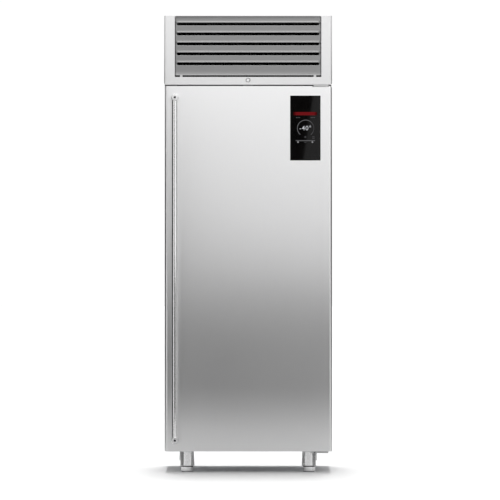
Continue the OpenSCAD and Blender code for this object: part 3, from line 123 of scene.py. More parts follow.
class Wiring:
    """A node tree under construction: a material's or the world's."""

    def __init__(self, owner):
        owner.use_nodes = True
        self.tree = owner.node_tree

    def put(self, socket, value):
        if isinstance(value, Wire):
            self.tree.links.new(value.socket, socket)
        else:
            socket.default_value = value

    def node(self, kind, settings=None, inputs=None, out=0):
        """Adds one node: its settings first, then its sockets. Returns one of its outputs."""
        node = self.tree.nodes.new(kind)
        for key, value in (settings or {}).items():
            if key == "stops":
                ramp = node.color_ramp.elements
                while len(ramp) < len(value):
                    ramp.new(0.5)
                for stop, (place, grey) in zip(ramp, value):
                    stop.position = place
                    stop.color = (grey, grey, grey, 1.0)
            else:
                setattr(node, key, value)
        for key, value in (inputs or {}).items():
            self.put(node.inputs[key], value)
        return Wire(self, node.outputs[out])


class Finish(Wiring):
    """A material under construction."""

    def __init__(self, name, color, roughness, metallic=0.0, **fixed):
        self.material = bpy.data.materials.new(name)
        super().__init__(self.material)
        self.shader = self.tree.nodes["Principled BSDF"]
        self.set("Base Color", (*color, 1.0))
        self.set("Roughness", roughness)
        self.set("Metallic", metallic)
        for socket, value in fixed.items():
            self.set(socket.replace("_", " "), value)

    def set(self, name, value):
        self.put(self.shader.inputs[name], value)

    def place(self, stretch=(1.0, 1.0, 1.0)):
        """Object coordinates in metres, stretched along each axis."""
        coordinates = self.node("ShaderNodeTexCoord", out="Object")
        return self.node("ShaderNodeMapping", inputs={"Vector": coordinates, "Scale": stretch})

    def noise(self, scale, stretch=(1.0, 1.0, 1.0), detail=2.0, roughness=0.5):
        """Noise from 0 to 1 that repeats about every 1 / scale metres."""
        return self.node(
            "ShaderNodeTexNoise",
            {"noise_dimensions": "3D"},
            {"Vector": self.place(stretch), "Scale": scale, "Detail": detail, "Roughness": roughness},
        )

    def grade(self, amount, dark, light):
        """A colour between two, by an amount from 0 to 1."""
        return self.node(
            "ShaderNodeMix",
            {"data_type": "RGBA"},
            {0: amount, 6: (*dark, 1.0), 7: (*light, 1.0)},
            out=2,
        )

    def bump(self, height, distance, strength=1.0):
        normal = self.node(
            "ShaderNodeBump", inputs={"Height": height, "Distance": distance, "Strength": strength}
        )
        self.set("Normal", normal)


def tinted(tone, red, green, blue):
    """A grey tone with a factor on each of its three colours."""
    return tuple(min(tone * factor, 1.0) for factor in (red, green, blue))


def report(*materials):
    print("finishes:", ", ".join(material.name for material in materials))


# %% [markdown]
# ## Brushed stainless steel
# The outer sheets are brushed up and down: fine scratches, a fraction of a millimetre apart and
# tens of centimetres long. One noise does this if its coordinates are stretched, dense across the
# sheet and slow along Z. It shifts the colour and the roughness a little and lifts the surface by
# a few thousandths of a millimetre. A second, slow noise stands for the sheet's own unevenness.

# %% Steel finishes
SCRATCHES_PER_METRE = 900.0
SHEET_CLOUDS_PER_METRE = 2.2


def brushed(name, tone, roughness, along=(1.0, 1.0, 0.012), depth=0.000004):
    """Steel sheet with a brushed grain; along holds the grain's stretch on X, Y and Z."""
    finish = Finish(name, (tone, tone, tone), roughness, metallic=1.0)
    grain = finish.noise(SCRATCHES_PER_METRE, along, detail=3.0, roughness=0.6)
    cloud = finish.noise(SHEET_CLOUDS_PER_METRE, detail=1.0)
    shade = grain * 0.6 + cloud * 0.4
    dark = tinted(tone, 0.95, 0.95, 0.955)
    light = tinted(tone, 1.05, 1.05, 1.052)
    finish.set("Base Color", finish.grade(shade, dark, light))
    finish.set("Roughness", roughness - 0.04 + grain * 0.05 + cloud * 0.03)
    finish.bump(grain, depth)
    return finish.material


door_steel = brushed("door_steel", 0.84, 0.34)
chamber_steel = brushed("chamber_steel", 0.70, 0.30)
# the fascia is the door's steel in a darker tone: the lower tone is painted shade
shaded_fascia_steel = brushed("shaded_fascia_steel", 0.71, 0.34)
# the louvred sheet is the fascia's steel, and its low tone is painted shade for the darker louvres
shaded_grille_steel = brushed("shaded_grille_steel", 0.26, 0.40, along=(0.012, 1.0, 1.0))
handle_steel = brushed("handle_steel", 0.90, 0.16, depth=0.0000002)
report(door_steel, chamber_steel, shaded_fascia_steel, shaded_grille_steel, handle_steel)

# %% [markdown]
# ## Mill and turned steel
# Parts that nobody polishes, such as hinge plates and tray runners, keep the rolled surface of the
# mill: a little duller, with soft clouds instead of a grain. Turned parts carry fine rings from
# the lathe. A wave texture in rings would do, but at these sizes a noise that is stretched around
# the part reads the same, so the rings are a fine noise that runs fast along the turning axis.

# %% Mill and turned finishes
MILL_CLOUDS_PER_METRE = 9.0
MILL_SPECKS_PER_METRE = 420.0


def milled(name, tone, roughness, warmth=0.0):
    finish = Finish(name, (tone, tone, tone), roughness, metallic=1.0)
    cloud = finish.noise(MILL_CLOUDS_PER_METRE, detail=3.0, roughness=0.55)
    specks = finish.noise(MILL_SPECKS_PER_METRE, detail=2.0)
    shade = cloud * 0.7 + specks * 0.3
    dark = tinted(tone, 0.90, 0.90, 0.91 - warmth)
    light = tinted(tone, 1.07, 1.07, 1.07 - warmth)
    finish.set("Base Color", finish.grade(shade, dark, light))
    finish.set("Roughness", roughness - 0.06 + cloud * 0.12)
    finish.bump(specks, 0.00001, 0.5)
    return finish.material


mill_steel = milled("mill_steel", 0.60, 0.36)
turned_steel = brushed("turned_steel", 0.86, 0.20, along=(0.02, 0.02, 1.0), depth=0.0000004)
lathe_steel = brushed("lathe_steel", 0.72, 0.22, along=(0.3, 1.0, 0.3), depth=0.0000008)
# the rosette is the posts' turned steel in a darker tone: the lower tone is painted shade for the dark
# arcs on its rim
shaded_rosette_steel = brushed("shaded_rosette_steel", 0.50, 0.16, along=(0.3, 1.0, 0.3), depth=0.0000008)
report(mill_steel, turned_steel, lathe_steel, shaded_rosette_steel)

# %% [markdown]
# ## Zinc-coated sheet
# The hidden sheets are hot-dip galvanised. Zinc freezes in crystals about a centimetre across,
# and each throws back a slightly different grey. A Voronoi texture gives every cell one random
# value. We spread its colour over a narrow band of greys and let the roughness follow.

# %% Zinc sheet
CRYSTALS_PER_METRE = 85.0


def galvanised(name, tone):
    finish = Finish(name, (tone, tone, tone), 0.45, metallic=1.0)
    wobble = finish.noise(60.0, detail=1.0)
    cell = finish.node(
        "ShaderNodeTexVoronoi",
        {"feature": "F1"},
        {"Vector": finish.place(), "Scale": CRYSTALS_PER_METRE, "Randomness": 1.0},
        out="Color",
    )
    grey = finish.node("ShaderNodeSeparateColor", inputs={0: cell})
    shade = grey * 0.8 + wobble * 0.2
    dark = tinted(tone, 0.84, 0.86, 0.89)
    light = tinted(tone, 1.04, 1.06, 1.09)
    finish.set("Base Color", finish.grade(shade, dark, light))
    finish.set("Roughness", 0.36 + grey * 0.16)
    return finish.material


zinc_sheet = galvanised("zinc_sheet", 0.60)
report(zinc_sheet)

# %% [markdown]
# ## Plastic, rubber, foam and paint
# These four differ in three things only: their colour, how glossy they are, and the size of the
# grain on them. Moulded plastic has a spark-eroded grain of about half a millimetre, rubber a
# dusty bloom, foam has open cells where it is cut, and enamel a slight orange peel. One helper
# takes those values.

# %% Non-metals
STAINS_PER_METRE = 7.0


def grained(name, color, roughness, grain, depth, drift=0.12, **fixed):
    """A non-metal: its colour drifts slowly and its surface has one size of grain, in metres."""
    finish = Finish(name, color, roughness, **fixed)
    slow = finish.noise(STAINS_PER_METRE, detail=2.0)
    fine = finish.noise(1.0 / grain, detail=2.0)
    dark = tuple(part * (1.0 - drift) for part in color)
    light = tuple(min(part * (1.0 + drift), 1.0) for part in color)
    finish.set("Base Color", finish.grade(slow * 0.6 + fine * 0.4, dark, light))
    finish.set("Roughness", roughness - 0.05 + fine * 0.10)
    finish.bump(fine, depth)
    return finish.material


plastic_dark = grained("plastic_dark", (0.030, 0.030, 0.032), 0.48, 0.0006, 0.00003)
plastic_grey = grained("plastic_grey", (0.095, 0.098, 0.102), 0.46, 0.0006, 0.00003)
rubber_dark = grained("rubber_dark", (0.050, 0.050, 0.053), 0.68, 0.0004, 0.00002, drift=0.2)
foam_cream = grained("foam_cream", (0.80, 0.71, 0.45), 0.92, 0.0016, 0.0004, drift=0.08)
enamel_black = grained(
    "enamel_black", (0.016, 0.016, 0.018), 0.26, 0.0025, 0.00002, drift=0.25, Coat_Weight=0.35
)
# the condenser coil's near-black colour is painted shade for the dark slots
shade_black_coil = grained("shade_black_coil", (0.005, 0.005, 0.006), 0.70, 0.0010, 0.00002, drift=0.3)
# the filter's near-black colour is painted shade for the dark slots
shade_black_filter = grained(
    "shade_black_filter", (0.003, 0.003, 0.003), 0.9, 0.0020, 0.0001, drift=0.5, Specular_IOR_Level=0.05
)
screw_black = grained("screw_black", (0.022, 0.022, 0.024), 0.38, 0.0005, 0.00001, drift=0.3)
report(plastic_dark, plastic_grey, rubber_dark, foam_cream, enamel_black)
report(shade_black_coil, shade_black_filter, screw_black)

# %% [markdown]
# ## Bare fins and copper
# The evaporator's fins are bare aluminium foil, in the mill finish but brighter than the mill's
# steel. Copper pipe leaves the mill bright and browns in patches where it was held and heated, so
# a slow noise through a steep ramp mixes a bright and a brown copper.

# %% Fins and copper
PATCHES_PER_METRE = 14.0
DRAW_LINES_PER_METRE = 600.0
BRIGHT_COPPER = (0.83, 0.45, 0.29)
BROWN_COPPER = (0.36, 0.17, 0.10)


def drawn_copper(name):
    finish = Finish(name, (0.80, 0.42, 0.27), 0.28, metallic=1.0)
    patches = finish.noise(PATCHES_PER_METRE, detail=4.0, roughness=0.6)
    brown = finish.node("ShaderNodeValToRGB", {"stops": ((0.42, 0.0), (0.66, 1.0))}, {0: patches})
    draw = finish.noise(DRAW_LINES_PER_METRE, (1.0, 1.0, 0.05), detail=1.0)
    finish.set("Base Color", finish.grade(brown, BRIGHT_COPPER, BROWN_COPPER))
    finish.set("Roughness", 0.22 + brown * 0.22 + draw * 0.05)
    return finish.material


fin_foil = milled("fin_foil", 0.78, 0.40, warmth=-0.02)
copper_pipe = drawn_copper("copper_pipe")
report(fin_foil, copper_pipe)

# %% [markdown]
# ## Black glass and the circuit board
# The display is glass printed black on its back. Its colour is almost nothing and its face is
# close to a mirror, with a film of finger marks that only the roughness shows. The board
# behind it is green lacquer over copper tracks, which a brick texture with thin joints suggests.

# %% Glass and board
SMEARS_PER_METRE = 26.0
TRACKS_PER_METRE = 160.0


def printed_glass(name):
    finish = Finish(name, (0.001, 0.001, 0.001), 0.05)
    smears = finish.noise(SMEARS_PER_METRE, (1.0, 1.0, 0.5), detail=4.0, roughness=0.6)
    finish.set("Base Color", finish.grade(smears, (0.0026, 0.0023, 0.0023), (0.0046, 0.0041, 0.0041)))
    finish.set("Roughness", 0.02 + smears * 0.03)
    return finish.material


def tracked_board(name):
    finish = Finish(name, (0.03, 0.16, 0.08), 0.35)
    across = finish.node("ShaderNodeSeparateXYZ", inputs={0: finish.place()}, out="X")
    spot = finish.node("ShaderNodeCombineXYZ", inputs={0: across, 1: across.beside("Z")})
    tracks = finish.node(
        "ShaderNodeTexBrick",
        inputs={"Vector": spot, "Scale": TRACKS_PER_METRE, "Mortar Size": 0.05, "Row Height": 0.4},
        out="Fac",
    )
    finish.set("Base Color", finish.grade(tracks, (0.02, 0.13, 0.06), (0.16, 0.34, 0.16)))
    finish.set("Roughness", 0.30 + tracks * 0.15)
    return finish.material


display_black = printed_glass("display_black")
board_green = tracked_board("board_green")
report(display_black, board_green)

# %% [markdown]
# ## Studio: a white room
# The room looks white, but it must not flood the steel with light, so a Light Path node keeps the
# two apart. Where the camera looks, also by way of metal or glass, the world is white. All other
# rays meet a weaker dome, brighter overhead and to the front and back. The floor is pale paper.
# Its colour is lifted for the camera alone, so that it reads as white and still darkens under the
# cabinet.

# %% World and floor
WHITE = (1.0, 1.0, 1.0, 1.0)
WHITE_SEEN = 1.03
HORIZON_LIGHT = 0.10
ZENITH_LIGHT = 0.34
FRONT_BACK_LIGHT = 0.80
FLOOR_TONE = 0.90
FLOOR_SEEN = 1.13
FLOOR_SIZE = 400.0


def seen_directly(wiring):
    """1 for rays from the camera, also by way of metal or glass, and 0 for soft light."""
    camera_ray = wiring.node("ShaderNodeLightPath", out="Is Camera Ray")
    mirrored = camera_ray.beside("Is Glossy Ray")
    refracted = camera_ray.beside("Is Transmission Ray")
    soft_bounces = camera_ray.beside("Diffuse Depth")
    return (camera_ray | mirrored | refracted) * (soft_bounces < 0.5)


def white_world():
    """White where the camera, metal and glass look, and plain soft light for everything else."""
    world = bpy.data.worlds.new("white_room")
    bpy.context.scene.world = world
    room = Wiring(world)
    direction = room.node("ShaderNodeTexCoord", out="Generated")
    lengthways = room.node("ShaderNodeSeparateXYZ", inputs={0: direction}, out="Y")
    heights = {"Value": lengthways.beside("Z"), "To Min": HORIZON_LIGHT, "To Max": ZENITH_LIGHT}
    dome = room.node("ShaderNodeMapRange", inputs=heights)
    light = room.tree.nodes["Background"]
    room.put(light.inputs["Color"], WHITE)
    room.put(light.inputs["Strength"], lengthways * lengthways * FRONT_BACK_LIGHT + dome)
    white = room.node("ShaderNodeBackground", inputs={"Color": WHITE, "Strength": WHITE_SEEN})
    both = {0: seen_directly(room), 1: Wire(room, light.outputs[0]), 2: white}
    shown = room.node("ShaderNodeMixShader", inputs=both)
    room.put(room.tree.nodes["World Output"].inputs["Surface"], shown)


def flat_sheet(name, material):
    bm = bmesh.new()
    bmesh.ops.create_grid(bm, x_segments=1, y_segments=1, size=0.5)
    mesh = bpy.data.meshes.new(name)
    bm.to_mesh(mesh)
    bm.free()
    mesh.materials.append(material)
    piece = bpy.data.objects.new(name, mesh)
    bpy.context.scene.collection.objects.link(piece)
    return piece


def white_floor():
    finish = Finish("floor_white", (FLOOR_TONE,) * 3, 0.85, Specular_IOR_Level=0.0)
    camera_ray = finish.node("ShaderNodeLightPath", out="Is Camera Ray")
    finish.set("Base Color", finish.grade(camera_ray, (FLOOR_TONE,) * 3, (FLOOR_SEEN,) * 3))
    floor = flat_sheet("floor", finish.material)
    floor.scale = (FLOOR_SIZE, FLOOR_SIZE, 1.0)


white_world()
white_floor()
bpy.context.scene.view_settings.view_transform = "Standard"
print("a white room with a floor", FLOOR_SIZE, "m across")

# %% [markdown]
# ## Studio: lights
# One large soft light stands in front and above. The cabinet's shadow falls forwards on the floor
# in the photograph, so the sun is behind it. One broad sun would smear the shadow sideways too,
# so four narrow ones stand over each other. Mirrors don't see them, or the top would burn out.

# %% Lights
SUN_LIGHT = 0.52
SUN_HEIGHTS = (62, 70, 78, 86)
SUN_SPREAD = 12


def soft_light(name, centre, aim, size, brightness):
    """An area light whose face shines with the brightness given, where 1 renders as white."""
    lamp = bpy.data.lights.new(name, "AREA")
    lamp.shape = "RECTANGLE"
    lamp.size, lamp.size_y = size
    lamp.energy = brightness * math.pi * size[0] * size[1]
    light = bpy.data.objects.new(name, lamp)
    light.location = centre
    light.rotation_euler = (Vector(aim) - Vector(centre)).to_track_quat("-Z", "Y").to_euler()
    light.visible_camera = False
    bpy.context.scene.collection.objects.link(light)


def back_sun(brightness, elevation):
    """A sun behind the cabinet, so high in degrees: it lays the shadow forwards."""
    lamp = bpy.data.lights.new("back_sun", "SUN")
    slope = math.radians(elevation)
    lamp.energy = brightness * math.pi / math.sin(slope)
    lamp.angle = math.radians(SUN_SPREAD)
    light = bpy.data.objects.new("back_sun", lamp)
    travel = Vector((0, -math.cos(slope), -math.sin(slope)))
    light.rotation_euler = travel.to_track_quat("-Z", "Y").to_euler()
    light.visible_glossy = False
    bpy.context.scene.collection.objects.link(light)


soft_light(
    "front_softbox", centre=(0.6, -4.2, 3.0), aim=(0.0, -0.4, 1.9), size=(4.2, 2.0), brightness=0.50
)
for elevation in SUN_HEIGHTS:
    back_sun(SUN_LIGHT / len(SUN_HEIGHTS), elevation)
print("lights:", [light.name for light in bpy.data.lights])

# %% [markdown]
# ## Studio: cards
# Brushed steel is a mirror of sorts, so its tones come from what it faces. A photographer stands
# cards round such a thing, and so do we. Dark ones in front and at the sides give the sheet its
# darker bands, bright strips light the round edges of the handle and the legs, and the black
# glass mirrors a small window. Only mirrors see them, so they throw neither light nor shadow.

# %% Cards


def card(name, centre, size, glow, turn=0, tip=90, roll=0):
    """A flat card for mirrors only; glow is its brightness, where 1 is white."""
    finish = Finish(name, (0.0, 0.0, 0.0), 1.0, Specular_IOR_Level=0.0, Emission_Strength=1.0)
    seen = seen_directly(finish)
    finish.set("Emission Color", finish.grade(seen, (0.0, 0.0, 0.0), (glow,) * 3))
    piece = flat_sheet(name, finish.material)
    piece.matrix_world = (
        Matrix.Translation(centre)
        @ Matrix.Rotation(math.radians(turn), 4, "Z")
        @ Matrix.Rotation(math.radians(tip), 4, "X")
        @ Matrix.Rotation(math.radians(roll), 4, "Z")
        @ Matrix.Diagonal((*size, 1.0, 1.0))
    )
    piece.visible_camera = False
    piece.visible_shadow = False
    piece.visible_diffuse = False
    print(name, size[0], "by", size[1], "m")


card("front_card", (0.0, -2.3, 0.45), (3.6, 0.94), glow=0.085)
card("foot_card", (0.0, -1.25, 0.11), (3.0, 0.22), glow=0.68)
card("left_strip", (-1.60, -2.1, 1.0), (0.5, 2.4), glow=1.25, turn=-34)
card("right_strip", (1.35, -2.1, 1.0), (0.4, 2.4), glow=1.1, turn=30)
card("left_card", (-2.3, 1.6, 1.0), (6.2, 2.0), glow=0.06, turn=90)
card("right_card", (2.3, 1.6, 1.0), (6.2, 2.0), glow=0.06, turn=90)
card("left_flag", (-0.98, -2.6, 1.20), (0.9, 1.3), glow=0.0)
card("over_card", (0.0, -1.2, 4.4), (3.6, 2.4), glow=2.4, tip=0)
card("camera_hood", (0.297, -3.38, 1.668), (0.20, 0.40), glow=0.0)
card("window", (0.386, -3.36, 1.656), (0.15, 0.43), glow=0.40, roll=-9)

# %% [markdown]
# ## Finishes on the imported nodes
# Most nodes keep their imported mesh: a folded sheet is right as it is, down to its bends. Each gets
# the finish that its maker would give it, but the darker tones of the fascia, the louvred sheet and
# the condenser coil are painted shade. The sheets in the refrigerated chamber are brushed
# finer than the outside, and everything out of sight is galvanised, milled or painted.

# %% Carried-over nodes
NODE_FINISHES = (
    (door_steel, "outer_shell", "door_skin", "housing_sides", "housing_top"),
    # the fascia's darker tone is painted shade
    (shaded_fascia_steel, "fascia_frame"),
    (chamber_steel, "inner_liner", "door_liner", "fan_panel"),
    # the louvred sheet's dark tone is painted shade
    (shaded_grille_steel, "grille_panel"),
    (handle_steel, "handle_bar"),
    (lathe_steel, "handle_posts", "lock_housing", "lock_plug"),
    (turned_steel, "leg_sleeves", "hinge_pins"),
    (turned_steel, "foot_front_left", "foot_front_right", "foot_rear_left", "foot_rear_right"),
    (mill_steel, "hinge_plate_upper", "hinge_plate_lower", "rack_uprights", "tray_runners"),
    (mill_steel, "drip_tray", "drain_tube", "evaporator_fan_guards"),
    (zinc_sheet, "back_panel", "base_panel", "housing_back", "flap_brackets", "lock_strike"),
    (zinc_sheet, "unit_base", "condenser_shroud", "control_box"),
    (foam_cream, "insulation", "door_foam"),
    (rubber_dark, "door_gasket", "compressor_mounts"),
    (plastic_grey, "breaker_frame", "evaporator_fan_1", "evaporator_fan_2", "evaporator_fan_3"),
    (plastic_grey, "condenser_fan"),
    (plastic_dark, "door_sensor", "door_bushes", "display_housing", "cable_gland"),
    (display_black, "display_glass"),
    (board_green, "display_module"),
    (fin_foil, "evaporator_coil"),
    # the condenser coil's near-black is painted shade
    (shade_black_coil, "condenser_coil"),
    (enamel_black, "compressor", "liquid_receiver", "evaporator_fan_motors"),
    (enamel_black, "condenser_fan_motor"),
    (copper_pipe, "discharge_line", "liquid_line", "suction_line", "filter_drier"),
    (screw_black, "handle_screws"),
)
for material, *names in NODE_FINISHES:
    for name in names:
        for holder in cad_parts[name].material_slots:
            holder.material = material
dressed = {name for _, *names in NODE_FINISHES for name in names}
print("nodes dressed:", len(dressed), "of", len(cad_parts))
print("nodes left bare:", sorted(set(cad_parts) - dressed))

# %% [markdown]
# ## A bench for new pieces
# Every new piece is drawn in millimetres, as on a workshop drawing. `turned` is the lathe: it
# spins a profile of radius and height pairs. `block` is a bar with rounded edges. `soften` rounds
# sharp edges, which on real metal always catch a thin line of light.

# %% Bench: shapes
MM = 0.001
WELD_DISTANCE = 0.0005


def edges_over(bm, angle):
    limit = math.radians(angle)
    return [e for e in bm.edges if e.is_manifold and e.calc_face_angle(0.0) > limit]


def soften(bm, radius, angle=30, segments=3):
    bmesh.ops.bevel(
        bm,
        geom=edges_over(bm, angle),
        offset=radius,
        segments=segments,
        profile=0.5,
        affect="EDGES",
        clamp_overlap=True,
        material=-1,
    )


def tidy(bm):
    """Merges doubled points and turns all faces outwards."""
    bmesh.ops.remove_doubles(bm, verts=bm.verts, dist=WELD_DISTANCE)
    bmesh.ops.recalc_face_normals(bm, faces=bm.faces)


def turned(profile, steps=64):
    """Spins (radius, height) points round Z."""
    bm = bmesh.new()
    verts = [bm.verts.new((radius, 0, height)) for radius, height in profile]
    edges = [bm.edges.new(pair) for pair in zip(verts, verts[1:])]
    bmesh.ops.spin(
        bm,
        geom=verts + edges,
        axis=(0, 0, 1),
        cent=(0, 0, 0),
        angle=math.tau,
        steps=steps,
        use_merge=True,
    )
    tidy(bm)
    return bm


def block(low, high, radius=0.5):
    bm = bmesh.new()
    bmesh.ops.create_cube(bm, size=1.0)
    size = Vector(high) - Vector(low)
    middle = (Vector(high) + Vector(low)) / 2
    bmesh.ops.scale(bm, vec=size, verts=bm.verts)
    bmesh.ops.translate(bm, vec=middle, verts=bm.verts)
    soften(bm, radius)
    return bm


# %% [markdown]
# `lay` and `merged` move shapes and join them. `seat` scales a shape to metres, turns it into an
# object and sets it on a body. Its modifier weighs normals by area, so that a large flat face
# beside a small rounded edge mirrors like a flat face.

# %% Bench: placing
SHARP_OVER = 40


def lay(bm, centre, forward=False):
    """Moves a piece to its centre; forward turns its Z axis towards -Y first."""
    if forward:
        turn = Matrix.Rotation(math.radians(90), 3, "X")
        bmesh.ops.rotate(bm, matrix=turn, cent=(0, 0, 0), verts=bm.verts)
    bmesh.ops.translate(bm, vec=centre, verts=bm.verts)
    return bm


def merged(*parts):
    """Several bmeshes as one."""
    whole = bmesh.new()
    for part in parts:
        mesh = bpy.data.meshes.new("part")
        part.to_mesh(mesh)
        part.free()
        whole.from_mesh(mesh)
        bpy.data.meshes.remove(mesh)
    return whole


def seat(name, bm, body, material, stands_for=()):
    """Finishes a piece drawn in millimetres and sets it on a body."""
    bmesh.ops.scale(bm, vec=(MM, MM, MM), verts=bm.verts)
    mesh = bpy.data.meshes.new(name)
    bm.to_mesh(mesh)
    bm.free()
    mesh.shade_smooth()
    mesh.set_sharp_from_angle(angle=math.radians(SHARP_OVER))
    mesh.materials.append(material)
    piece = bpy.data.objects.new(name, mesh)
    bpy.context.scene.collection.objects.link(piece)
    evener = piece.modifiers.new("flat faces stay flat", "WEIGHTED_NORMAL")
    evener.keep_sharp = True
    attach(piece, body)
    if stands_for:
        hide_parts(*stands_for)
    print(name, "on", body, "has", len(mesh.polygons), "faces")


def corners_mm(node):
    """A node's lowest and highest corners in millimetres."""
    return tuple(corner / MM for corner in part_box(node))


# %% [markdown]
# ## The louvred panel
# On the real cabinet this is one sheet: long slots are cut in it and the metal above each slot is
# pressed out into a hood, so that air passes and splashes don't. It could be a flat picture of
# slots, but the hoods catch the light above each slot, so we shape them. Each slot starts as a
# circle that is pulled apart into a long loop. Seven more loops are extruded from it, each further
# out in the sheet. Over the slot they curve forwards into the hood, and under it a little back.

# %% Slots and hoods
SHEET = corners_mm("grille_panel")
SHEET_X = SHEET[1].x
SHEET_TOP = SHEET[1].z
SHEET_FOOT = 1842.8
SHEET_Y = SHEET[0].y + 5.0
SLOT_COUNT = 5
SLOT_PITCH = 46.2
SLOT_HALF_LENGTH = 330.0
SLOT_HALF_HEIGHT = 5.9
FIRST_SLOT_Z = SHEET_TOP - 37.8
SLOT_STEPS = 36
# below 1, the hood keeps its height almost to the slot's ends
HOOD_FULLNESS = 0.6
# how far each loop lies outside the slot and how far forward, under and over the slot
UNDER_SLOT = (
    (0.0, -2.8), (0.2, -1.9), (0.6, -1.4), (1.5, -0.9), (2.4, -0.4), (3.0, -0.1), (3.6, 0.0), (4.6, 0.0)
)
OVER_SLOT = (
    (0.0, 4.2), (0.5, 4.85), (1.4, 5.0), (3.4, 4.3), (6.0, 2.2), (8.2, 0.5), (9.6, 0.0), (10.4, 0.0)
)


def drawn_out(bm, loop, vec=(0, 0, 0)):
    """Extrudes edges and moves the new ones by vec. Returns their points and the new edges."""
    grown = bmesh.ops.extrude_edge_only(bm, edges=loop)["geom"]
    points = [v for v in grown if isinstance(v, bmesh.types.BMVert)]
    edges = [e for e in grown if isinstance(e, bmesh.types.BMEdge)]
    bmesh.ops.translate(bm, vec=vec, verts=points)
    return points, [e for e in edges if e.verts[0] in points and e.verts[1] in points]


def origin(point, candidates):
    """The point of the last loop that this one was extruded from."""
    neighbours = [e.other_vert(point) for e in point.link_edges]
    return next(v for v in neighbours if v in candidates)


def louvre(bm, middle_z):
    """One slot and its hood. Returns the loop where the hood meets the flat sheet."""
    before = set(bm.edges)
    ring = bmesh.ops.create_circle(bm, cap_ends=False, segments=SLOT_STEPS, radius=1.0)["verts"]
    half_step = Matrix.Rotation(math.pi / SLOT_STEPS, 3, "Z")
    bmesh.ops.rotate(bm, matrix=half_step, cent=(0, 0, 0), verts=ring)
    rays = {v: v.co.copy() for v in ring}
    loop = [e for e in bm.edges if e not in before]
    reach = SLOT_HALF_LENGTH - SLOT_HALF_HEIGHT
    for step, (under, over) in enumerate(zip(UNDER_SLOT, OVER_SLOT)):
        if step:
            points, loop = drawn_out(bm, loop)
            rays = {v: rays[origin(v, rays)] for v in points}
        for v, ray in rays.items():
            lift = max(ray.y, 0.0) ** HOOD_FULLNESS
            radius = SLOT_HALF_HEIGHT + under[0] + (over[0] - under[0]) * lift
            forward = under[1] + (over[1] - under[1]) * lift
            v.co = (
                ray.x * radius + math.copysign(reach, ray.x),
                SHEET_Y - forward,
                middle_z + ray.y * radius,
            )
    return loop


# %% [markdown]
# A fill closes the flat sheet between the slots. Its four outer edges are folded back round a
# small radius with a spin of a quarter turn, and the lowest strip is curved forwards.

# %% Louvred panel
SHEET_THICKNESS = 1.5
FOOT_BEND = 3.0
SIDE_BEND = 2.5
TOP_BEND = 1.0
BEND_STEPS = 4
FOOT_FLANGE = 3.0
SIDE_FLANGE = 15.0
TOP_FLANGE = 36.0
FLARE_HEIGHT = 18.0
FLARE = 7.0
FLARE_STEPS = 5


def fold(bm, edge, centre, axis, length):
    """Bends the sheet back round a small radius along an edge, then lets it run on."""
    bent = bmesh.ops.spin(
        bm,
        geom=[edge, *edge.verts],
        cent=centre,
        axis=axis,
        angle=math.radians(90),
        steps=BEND_STEPS,
    )["geom_last"]
    drawn_out(bm, [e for e in bent if isinstance(e, bmesh.types.BMEdge)], (0, length, 0))


def cut_level(bm, z):
    """Cuts every face at one height."""
    everything = [*bm.verts, *bm.edges, *bm.faces]
    bmesh.ops.bisect_plane(bm, geom=everything, plane_co=(0, 0, z), plane_no=(0, 0, 1))


def flare_foot(bm):
    """Curves the lowest strip of the sheet forwards, so that water drips clear of the sill."""
    start = SHEET_FOOT + FLARE_HEIGHT
    for step in range(FLARE_STEPS):
        cut_level(bm, start - step * FLARE_HEIGHT / FLARE_STEPS)
    for v in bm.verts:
        if v.co.z < start:
            v.co.y -= FLARE * ((start - v.co.z) / FLARE_HEIGHT) ** 2


def louvred_panel():
    bm = bmesh.new()
    rims = [e for i in range(SLOT_COUNT) for e in louvre(bm, FIRST_SLOT_Z - i * SLOT_PITCH)]
    x, low, high = SHEET_X - SIDE_BEND, SHEET_FOOT + FOOT_BEND, SHEET_TOP - TOP_BEND
    corners = [bm.verts.new((a, SHEET_Y, b)) for a, b in ((-x, low), (x, low), (x, high), (-x, high))]
    frame_edges = [bm.edges.new((corners[i], corners[(i + 1) % 4])) for i in range(4)]
    bmesh.ops.triangle_fill(bm, use_beauty=True, edges=rims + frame_edges, normal=(0, -1, 0))
    foot, right, top, left = frame_edges
    y = SHEET_Y + SIDE_BEND
    fold(bm, foot, (0, SHEET_Y + FOOT_BEND, low), (1, 0, 0), FOOT_FLANGE)
    fold(bm, right, (x, y, 0), (0, 0, 1), SIDE_FLANGE)
    fold(bm, top, (0, SHEET_Y + TOP_BEND, high), (-1, 0, 0), TOP_FLANGE)
    fold(bm, left, (-x, y, 0), (0, 0, -1), SIDE_FLANGE)
    flare_foot(bm)
    tidy(bm)
    front = sum((f.normal * f.calc_area() for f in bm.faces), Vector())
    if front.y > 0:
        bmesh.ops.reverse_faces(bm, faces=bm.faces)
    bmesh.ops.solidify(bm, geom=bm.faces[:], thickness=SHEET_THICKNESS)
    return bm


seat(
    "louvred_panel", louvred_panel(), "fascia", shaded_grille_steel,
    stands_for=["grille_panel"],
)

# %% [markdown]
# The panel's foot stands on two small tabs that rest on the fascia's sill.

# %% Locating tabs
TAB_X = 310.0
TAB_HALF_WIDTH = 6.0
TAB_FOOT = 1836.1
TAB_TOP = 1844.6
for side, x in (("left", -TAB_X), ("right", TAB_X)):
    low = (x - TAB_HALF_WIDTH, SHEET_Y - 6.0, TAB_FOOT)
    high = (x + TAB_HALF_WIDTH, SHEET_Y - 4.0, TAB_TOP)
    seat("panel_tab_" + side, block(low, high, 0.4), "fascia", mill_steel)

# %% [markdown]
# ## The air filter
# Behind the louvres a pleated filter stands in front of the condenser and keeps dust off its
# fins. Its near-black colour is painted shade: it makes the slots look black. Its pleats could be
# a bump, but at the slots' ends one sees real folds, so we take a grid and push every second
# column of points back. A thin frame of plastic holds it.

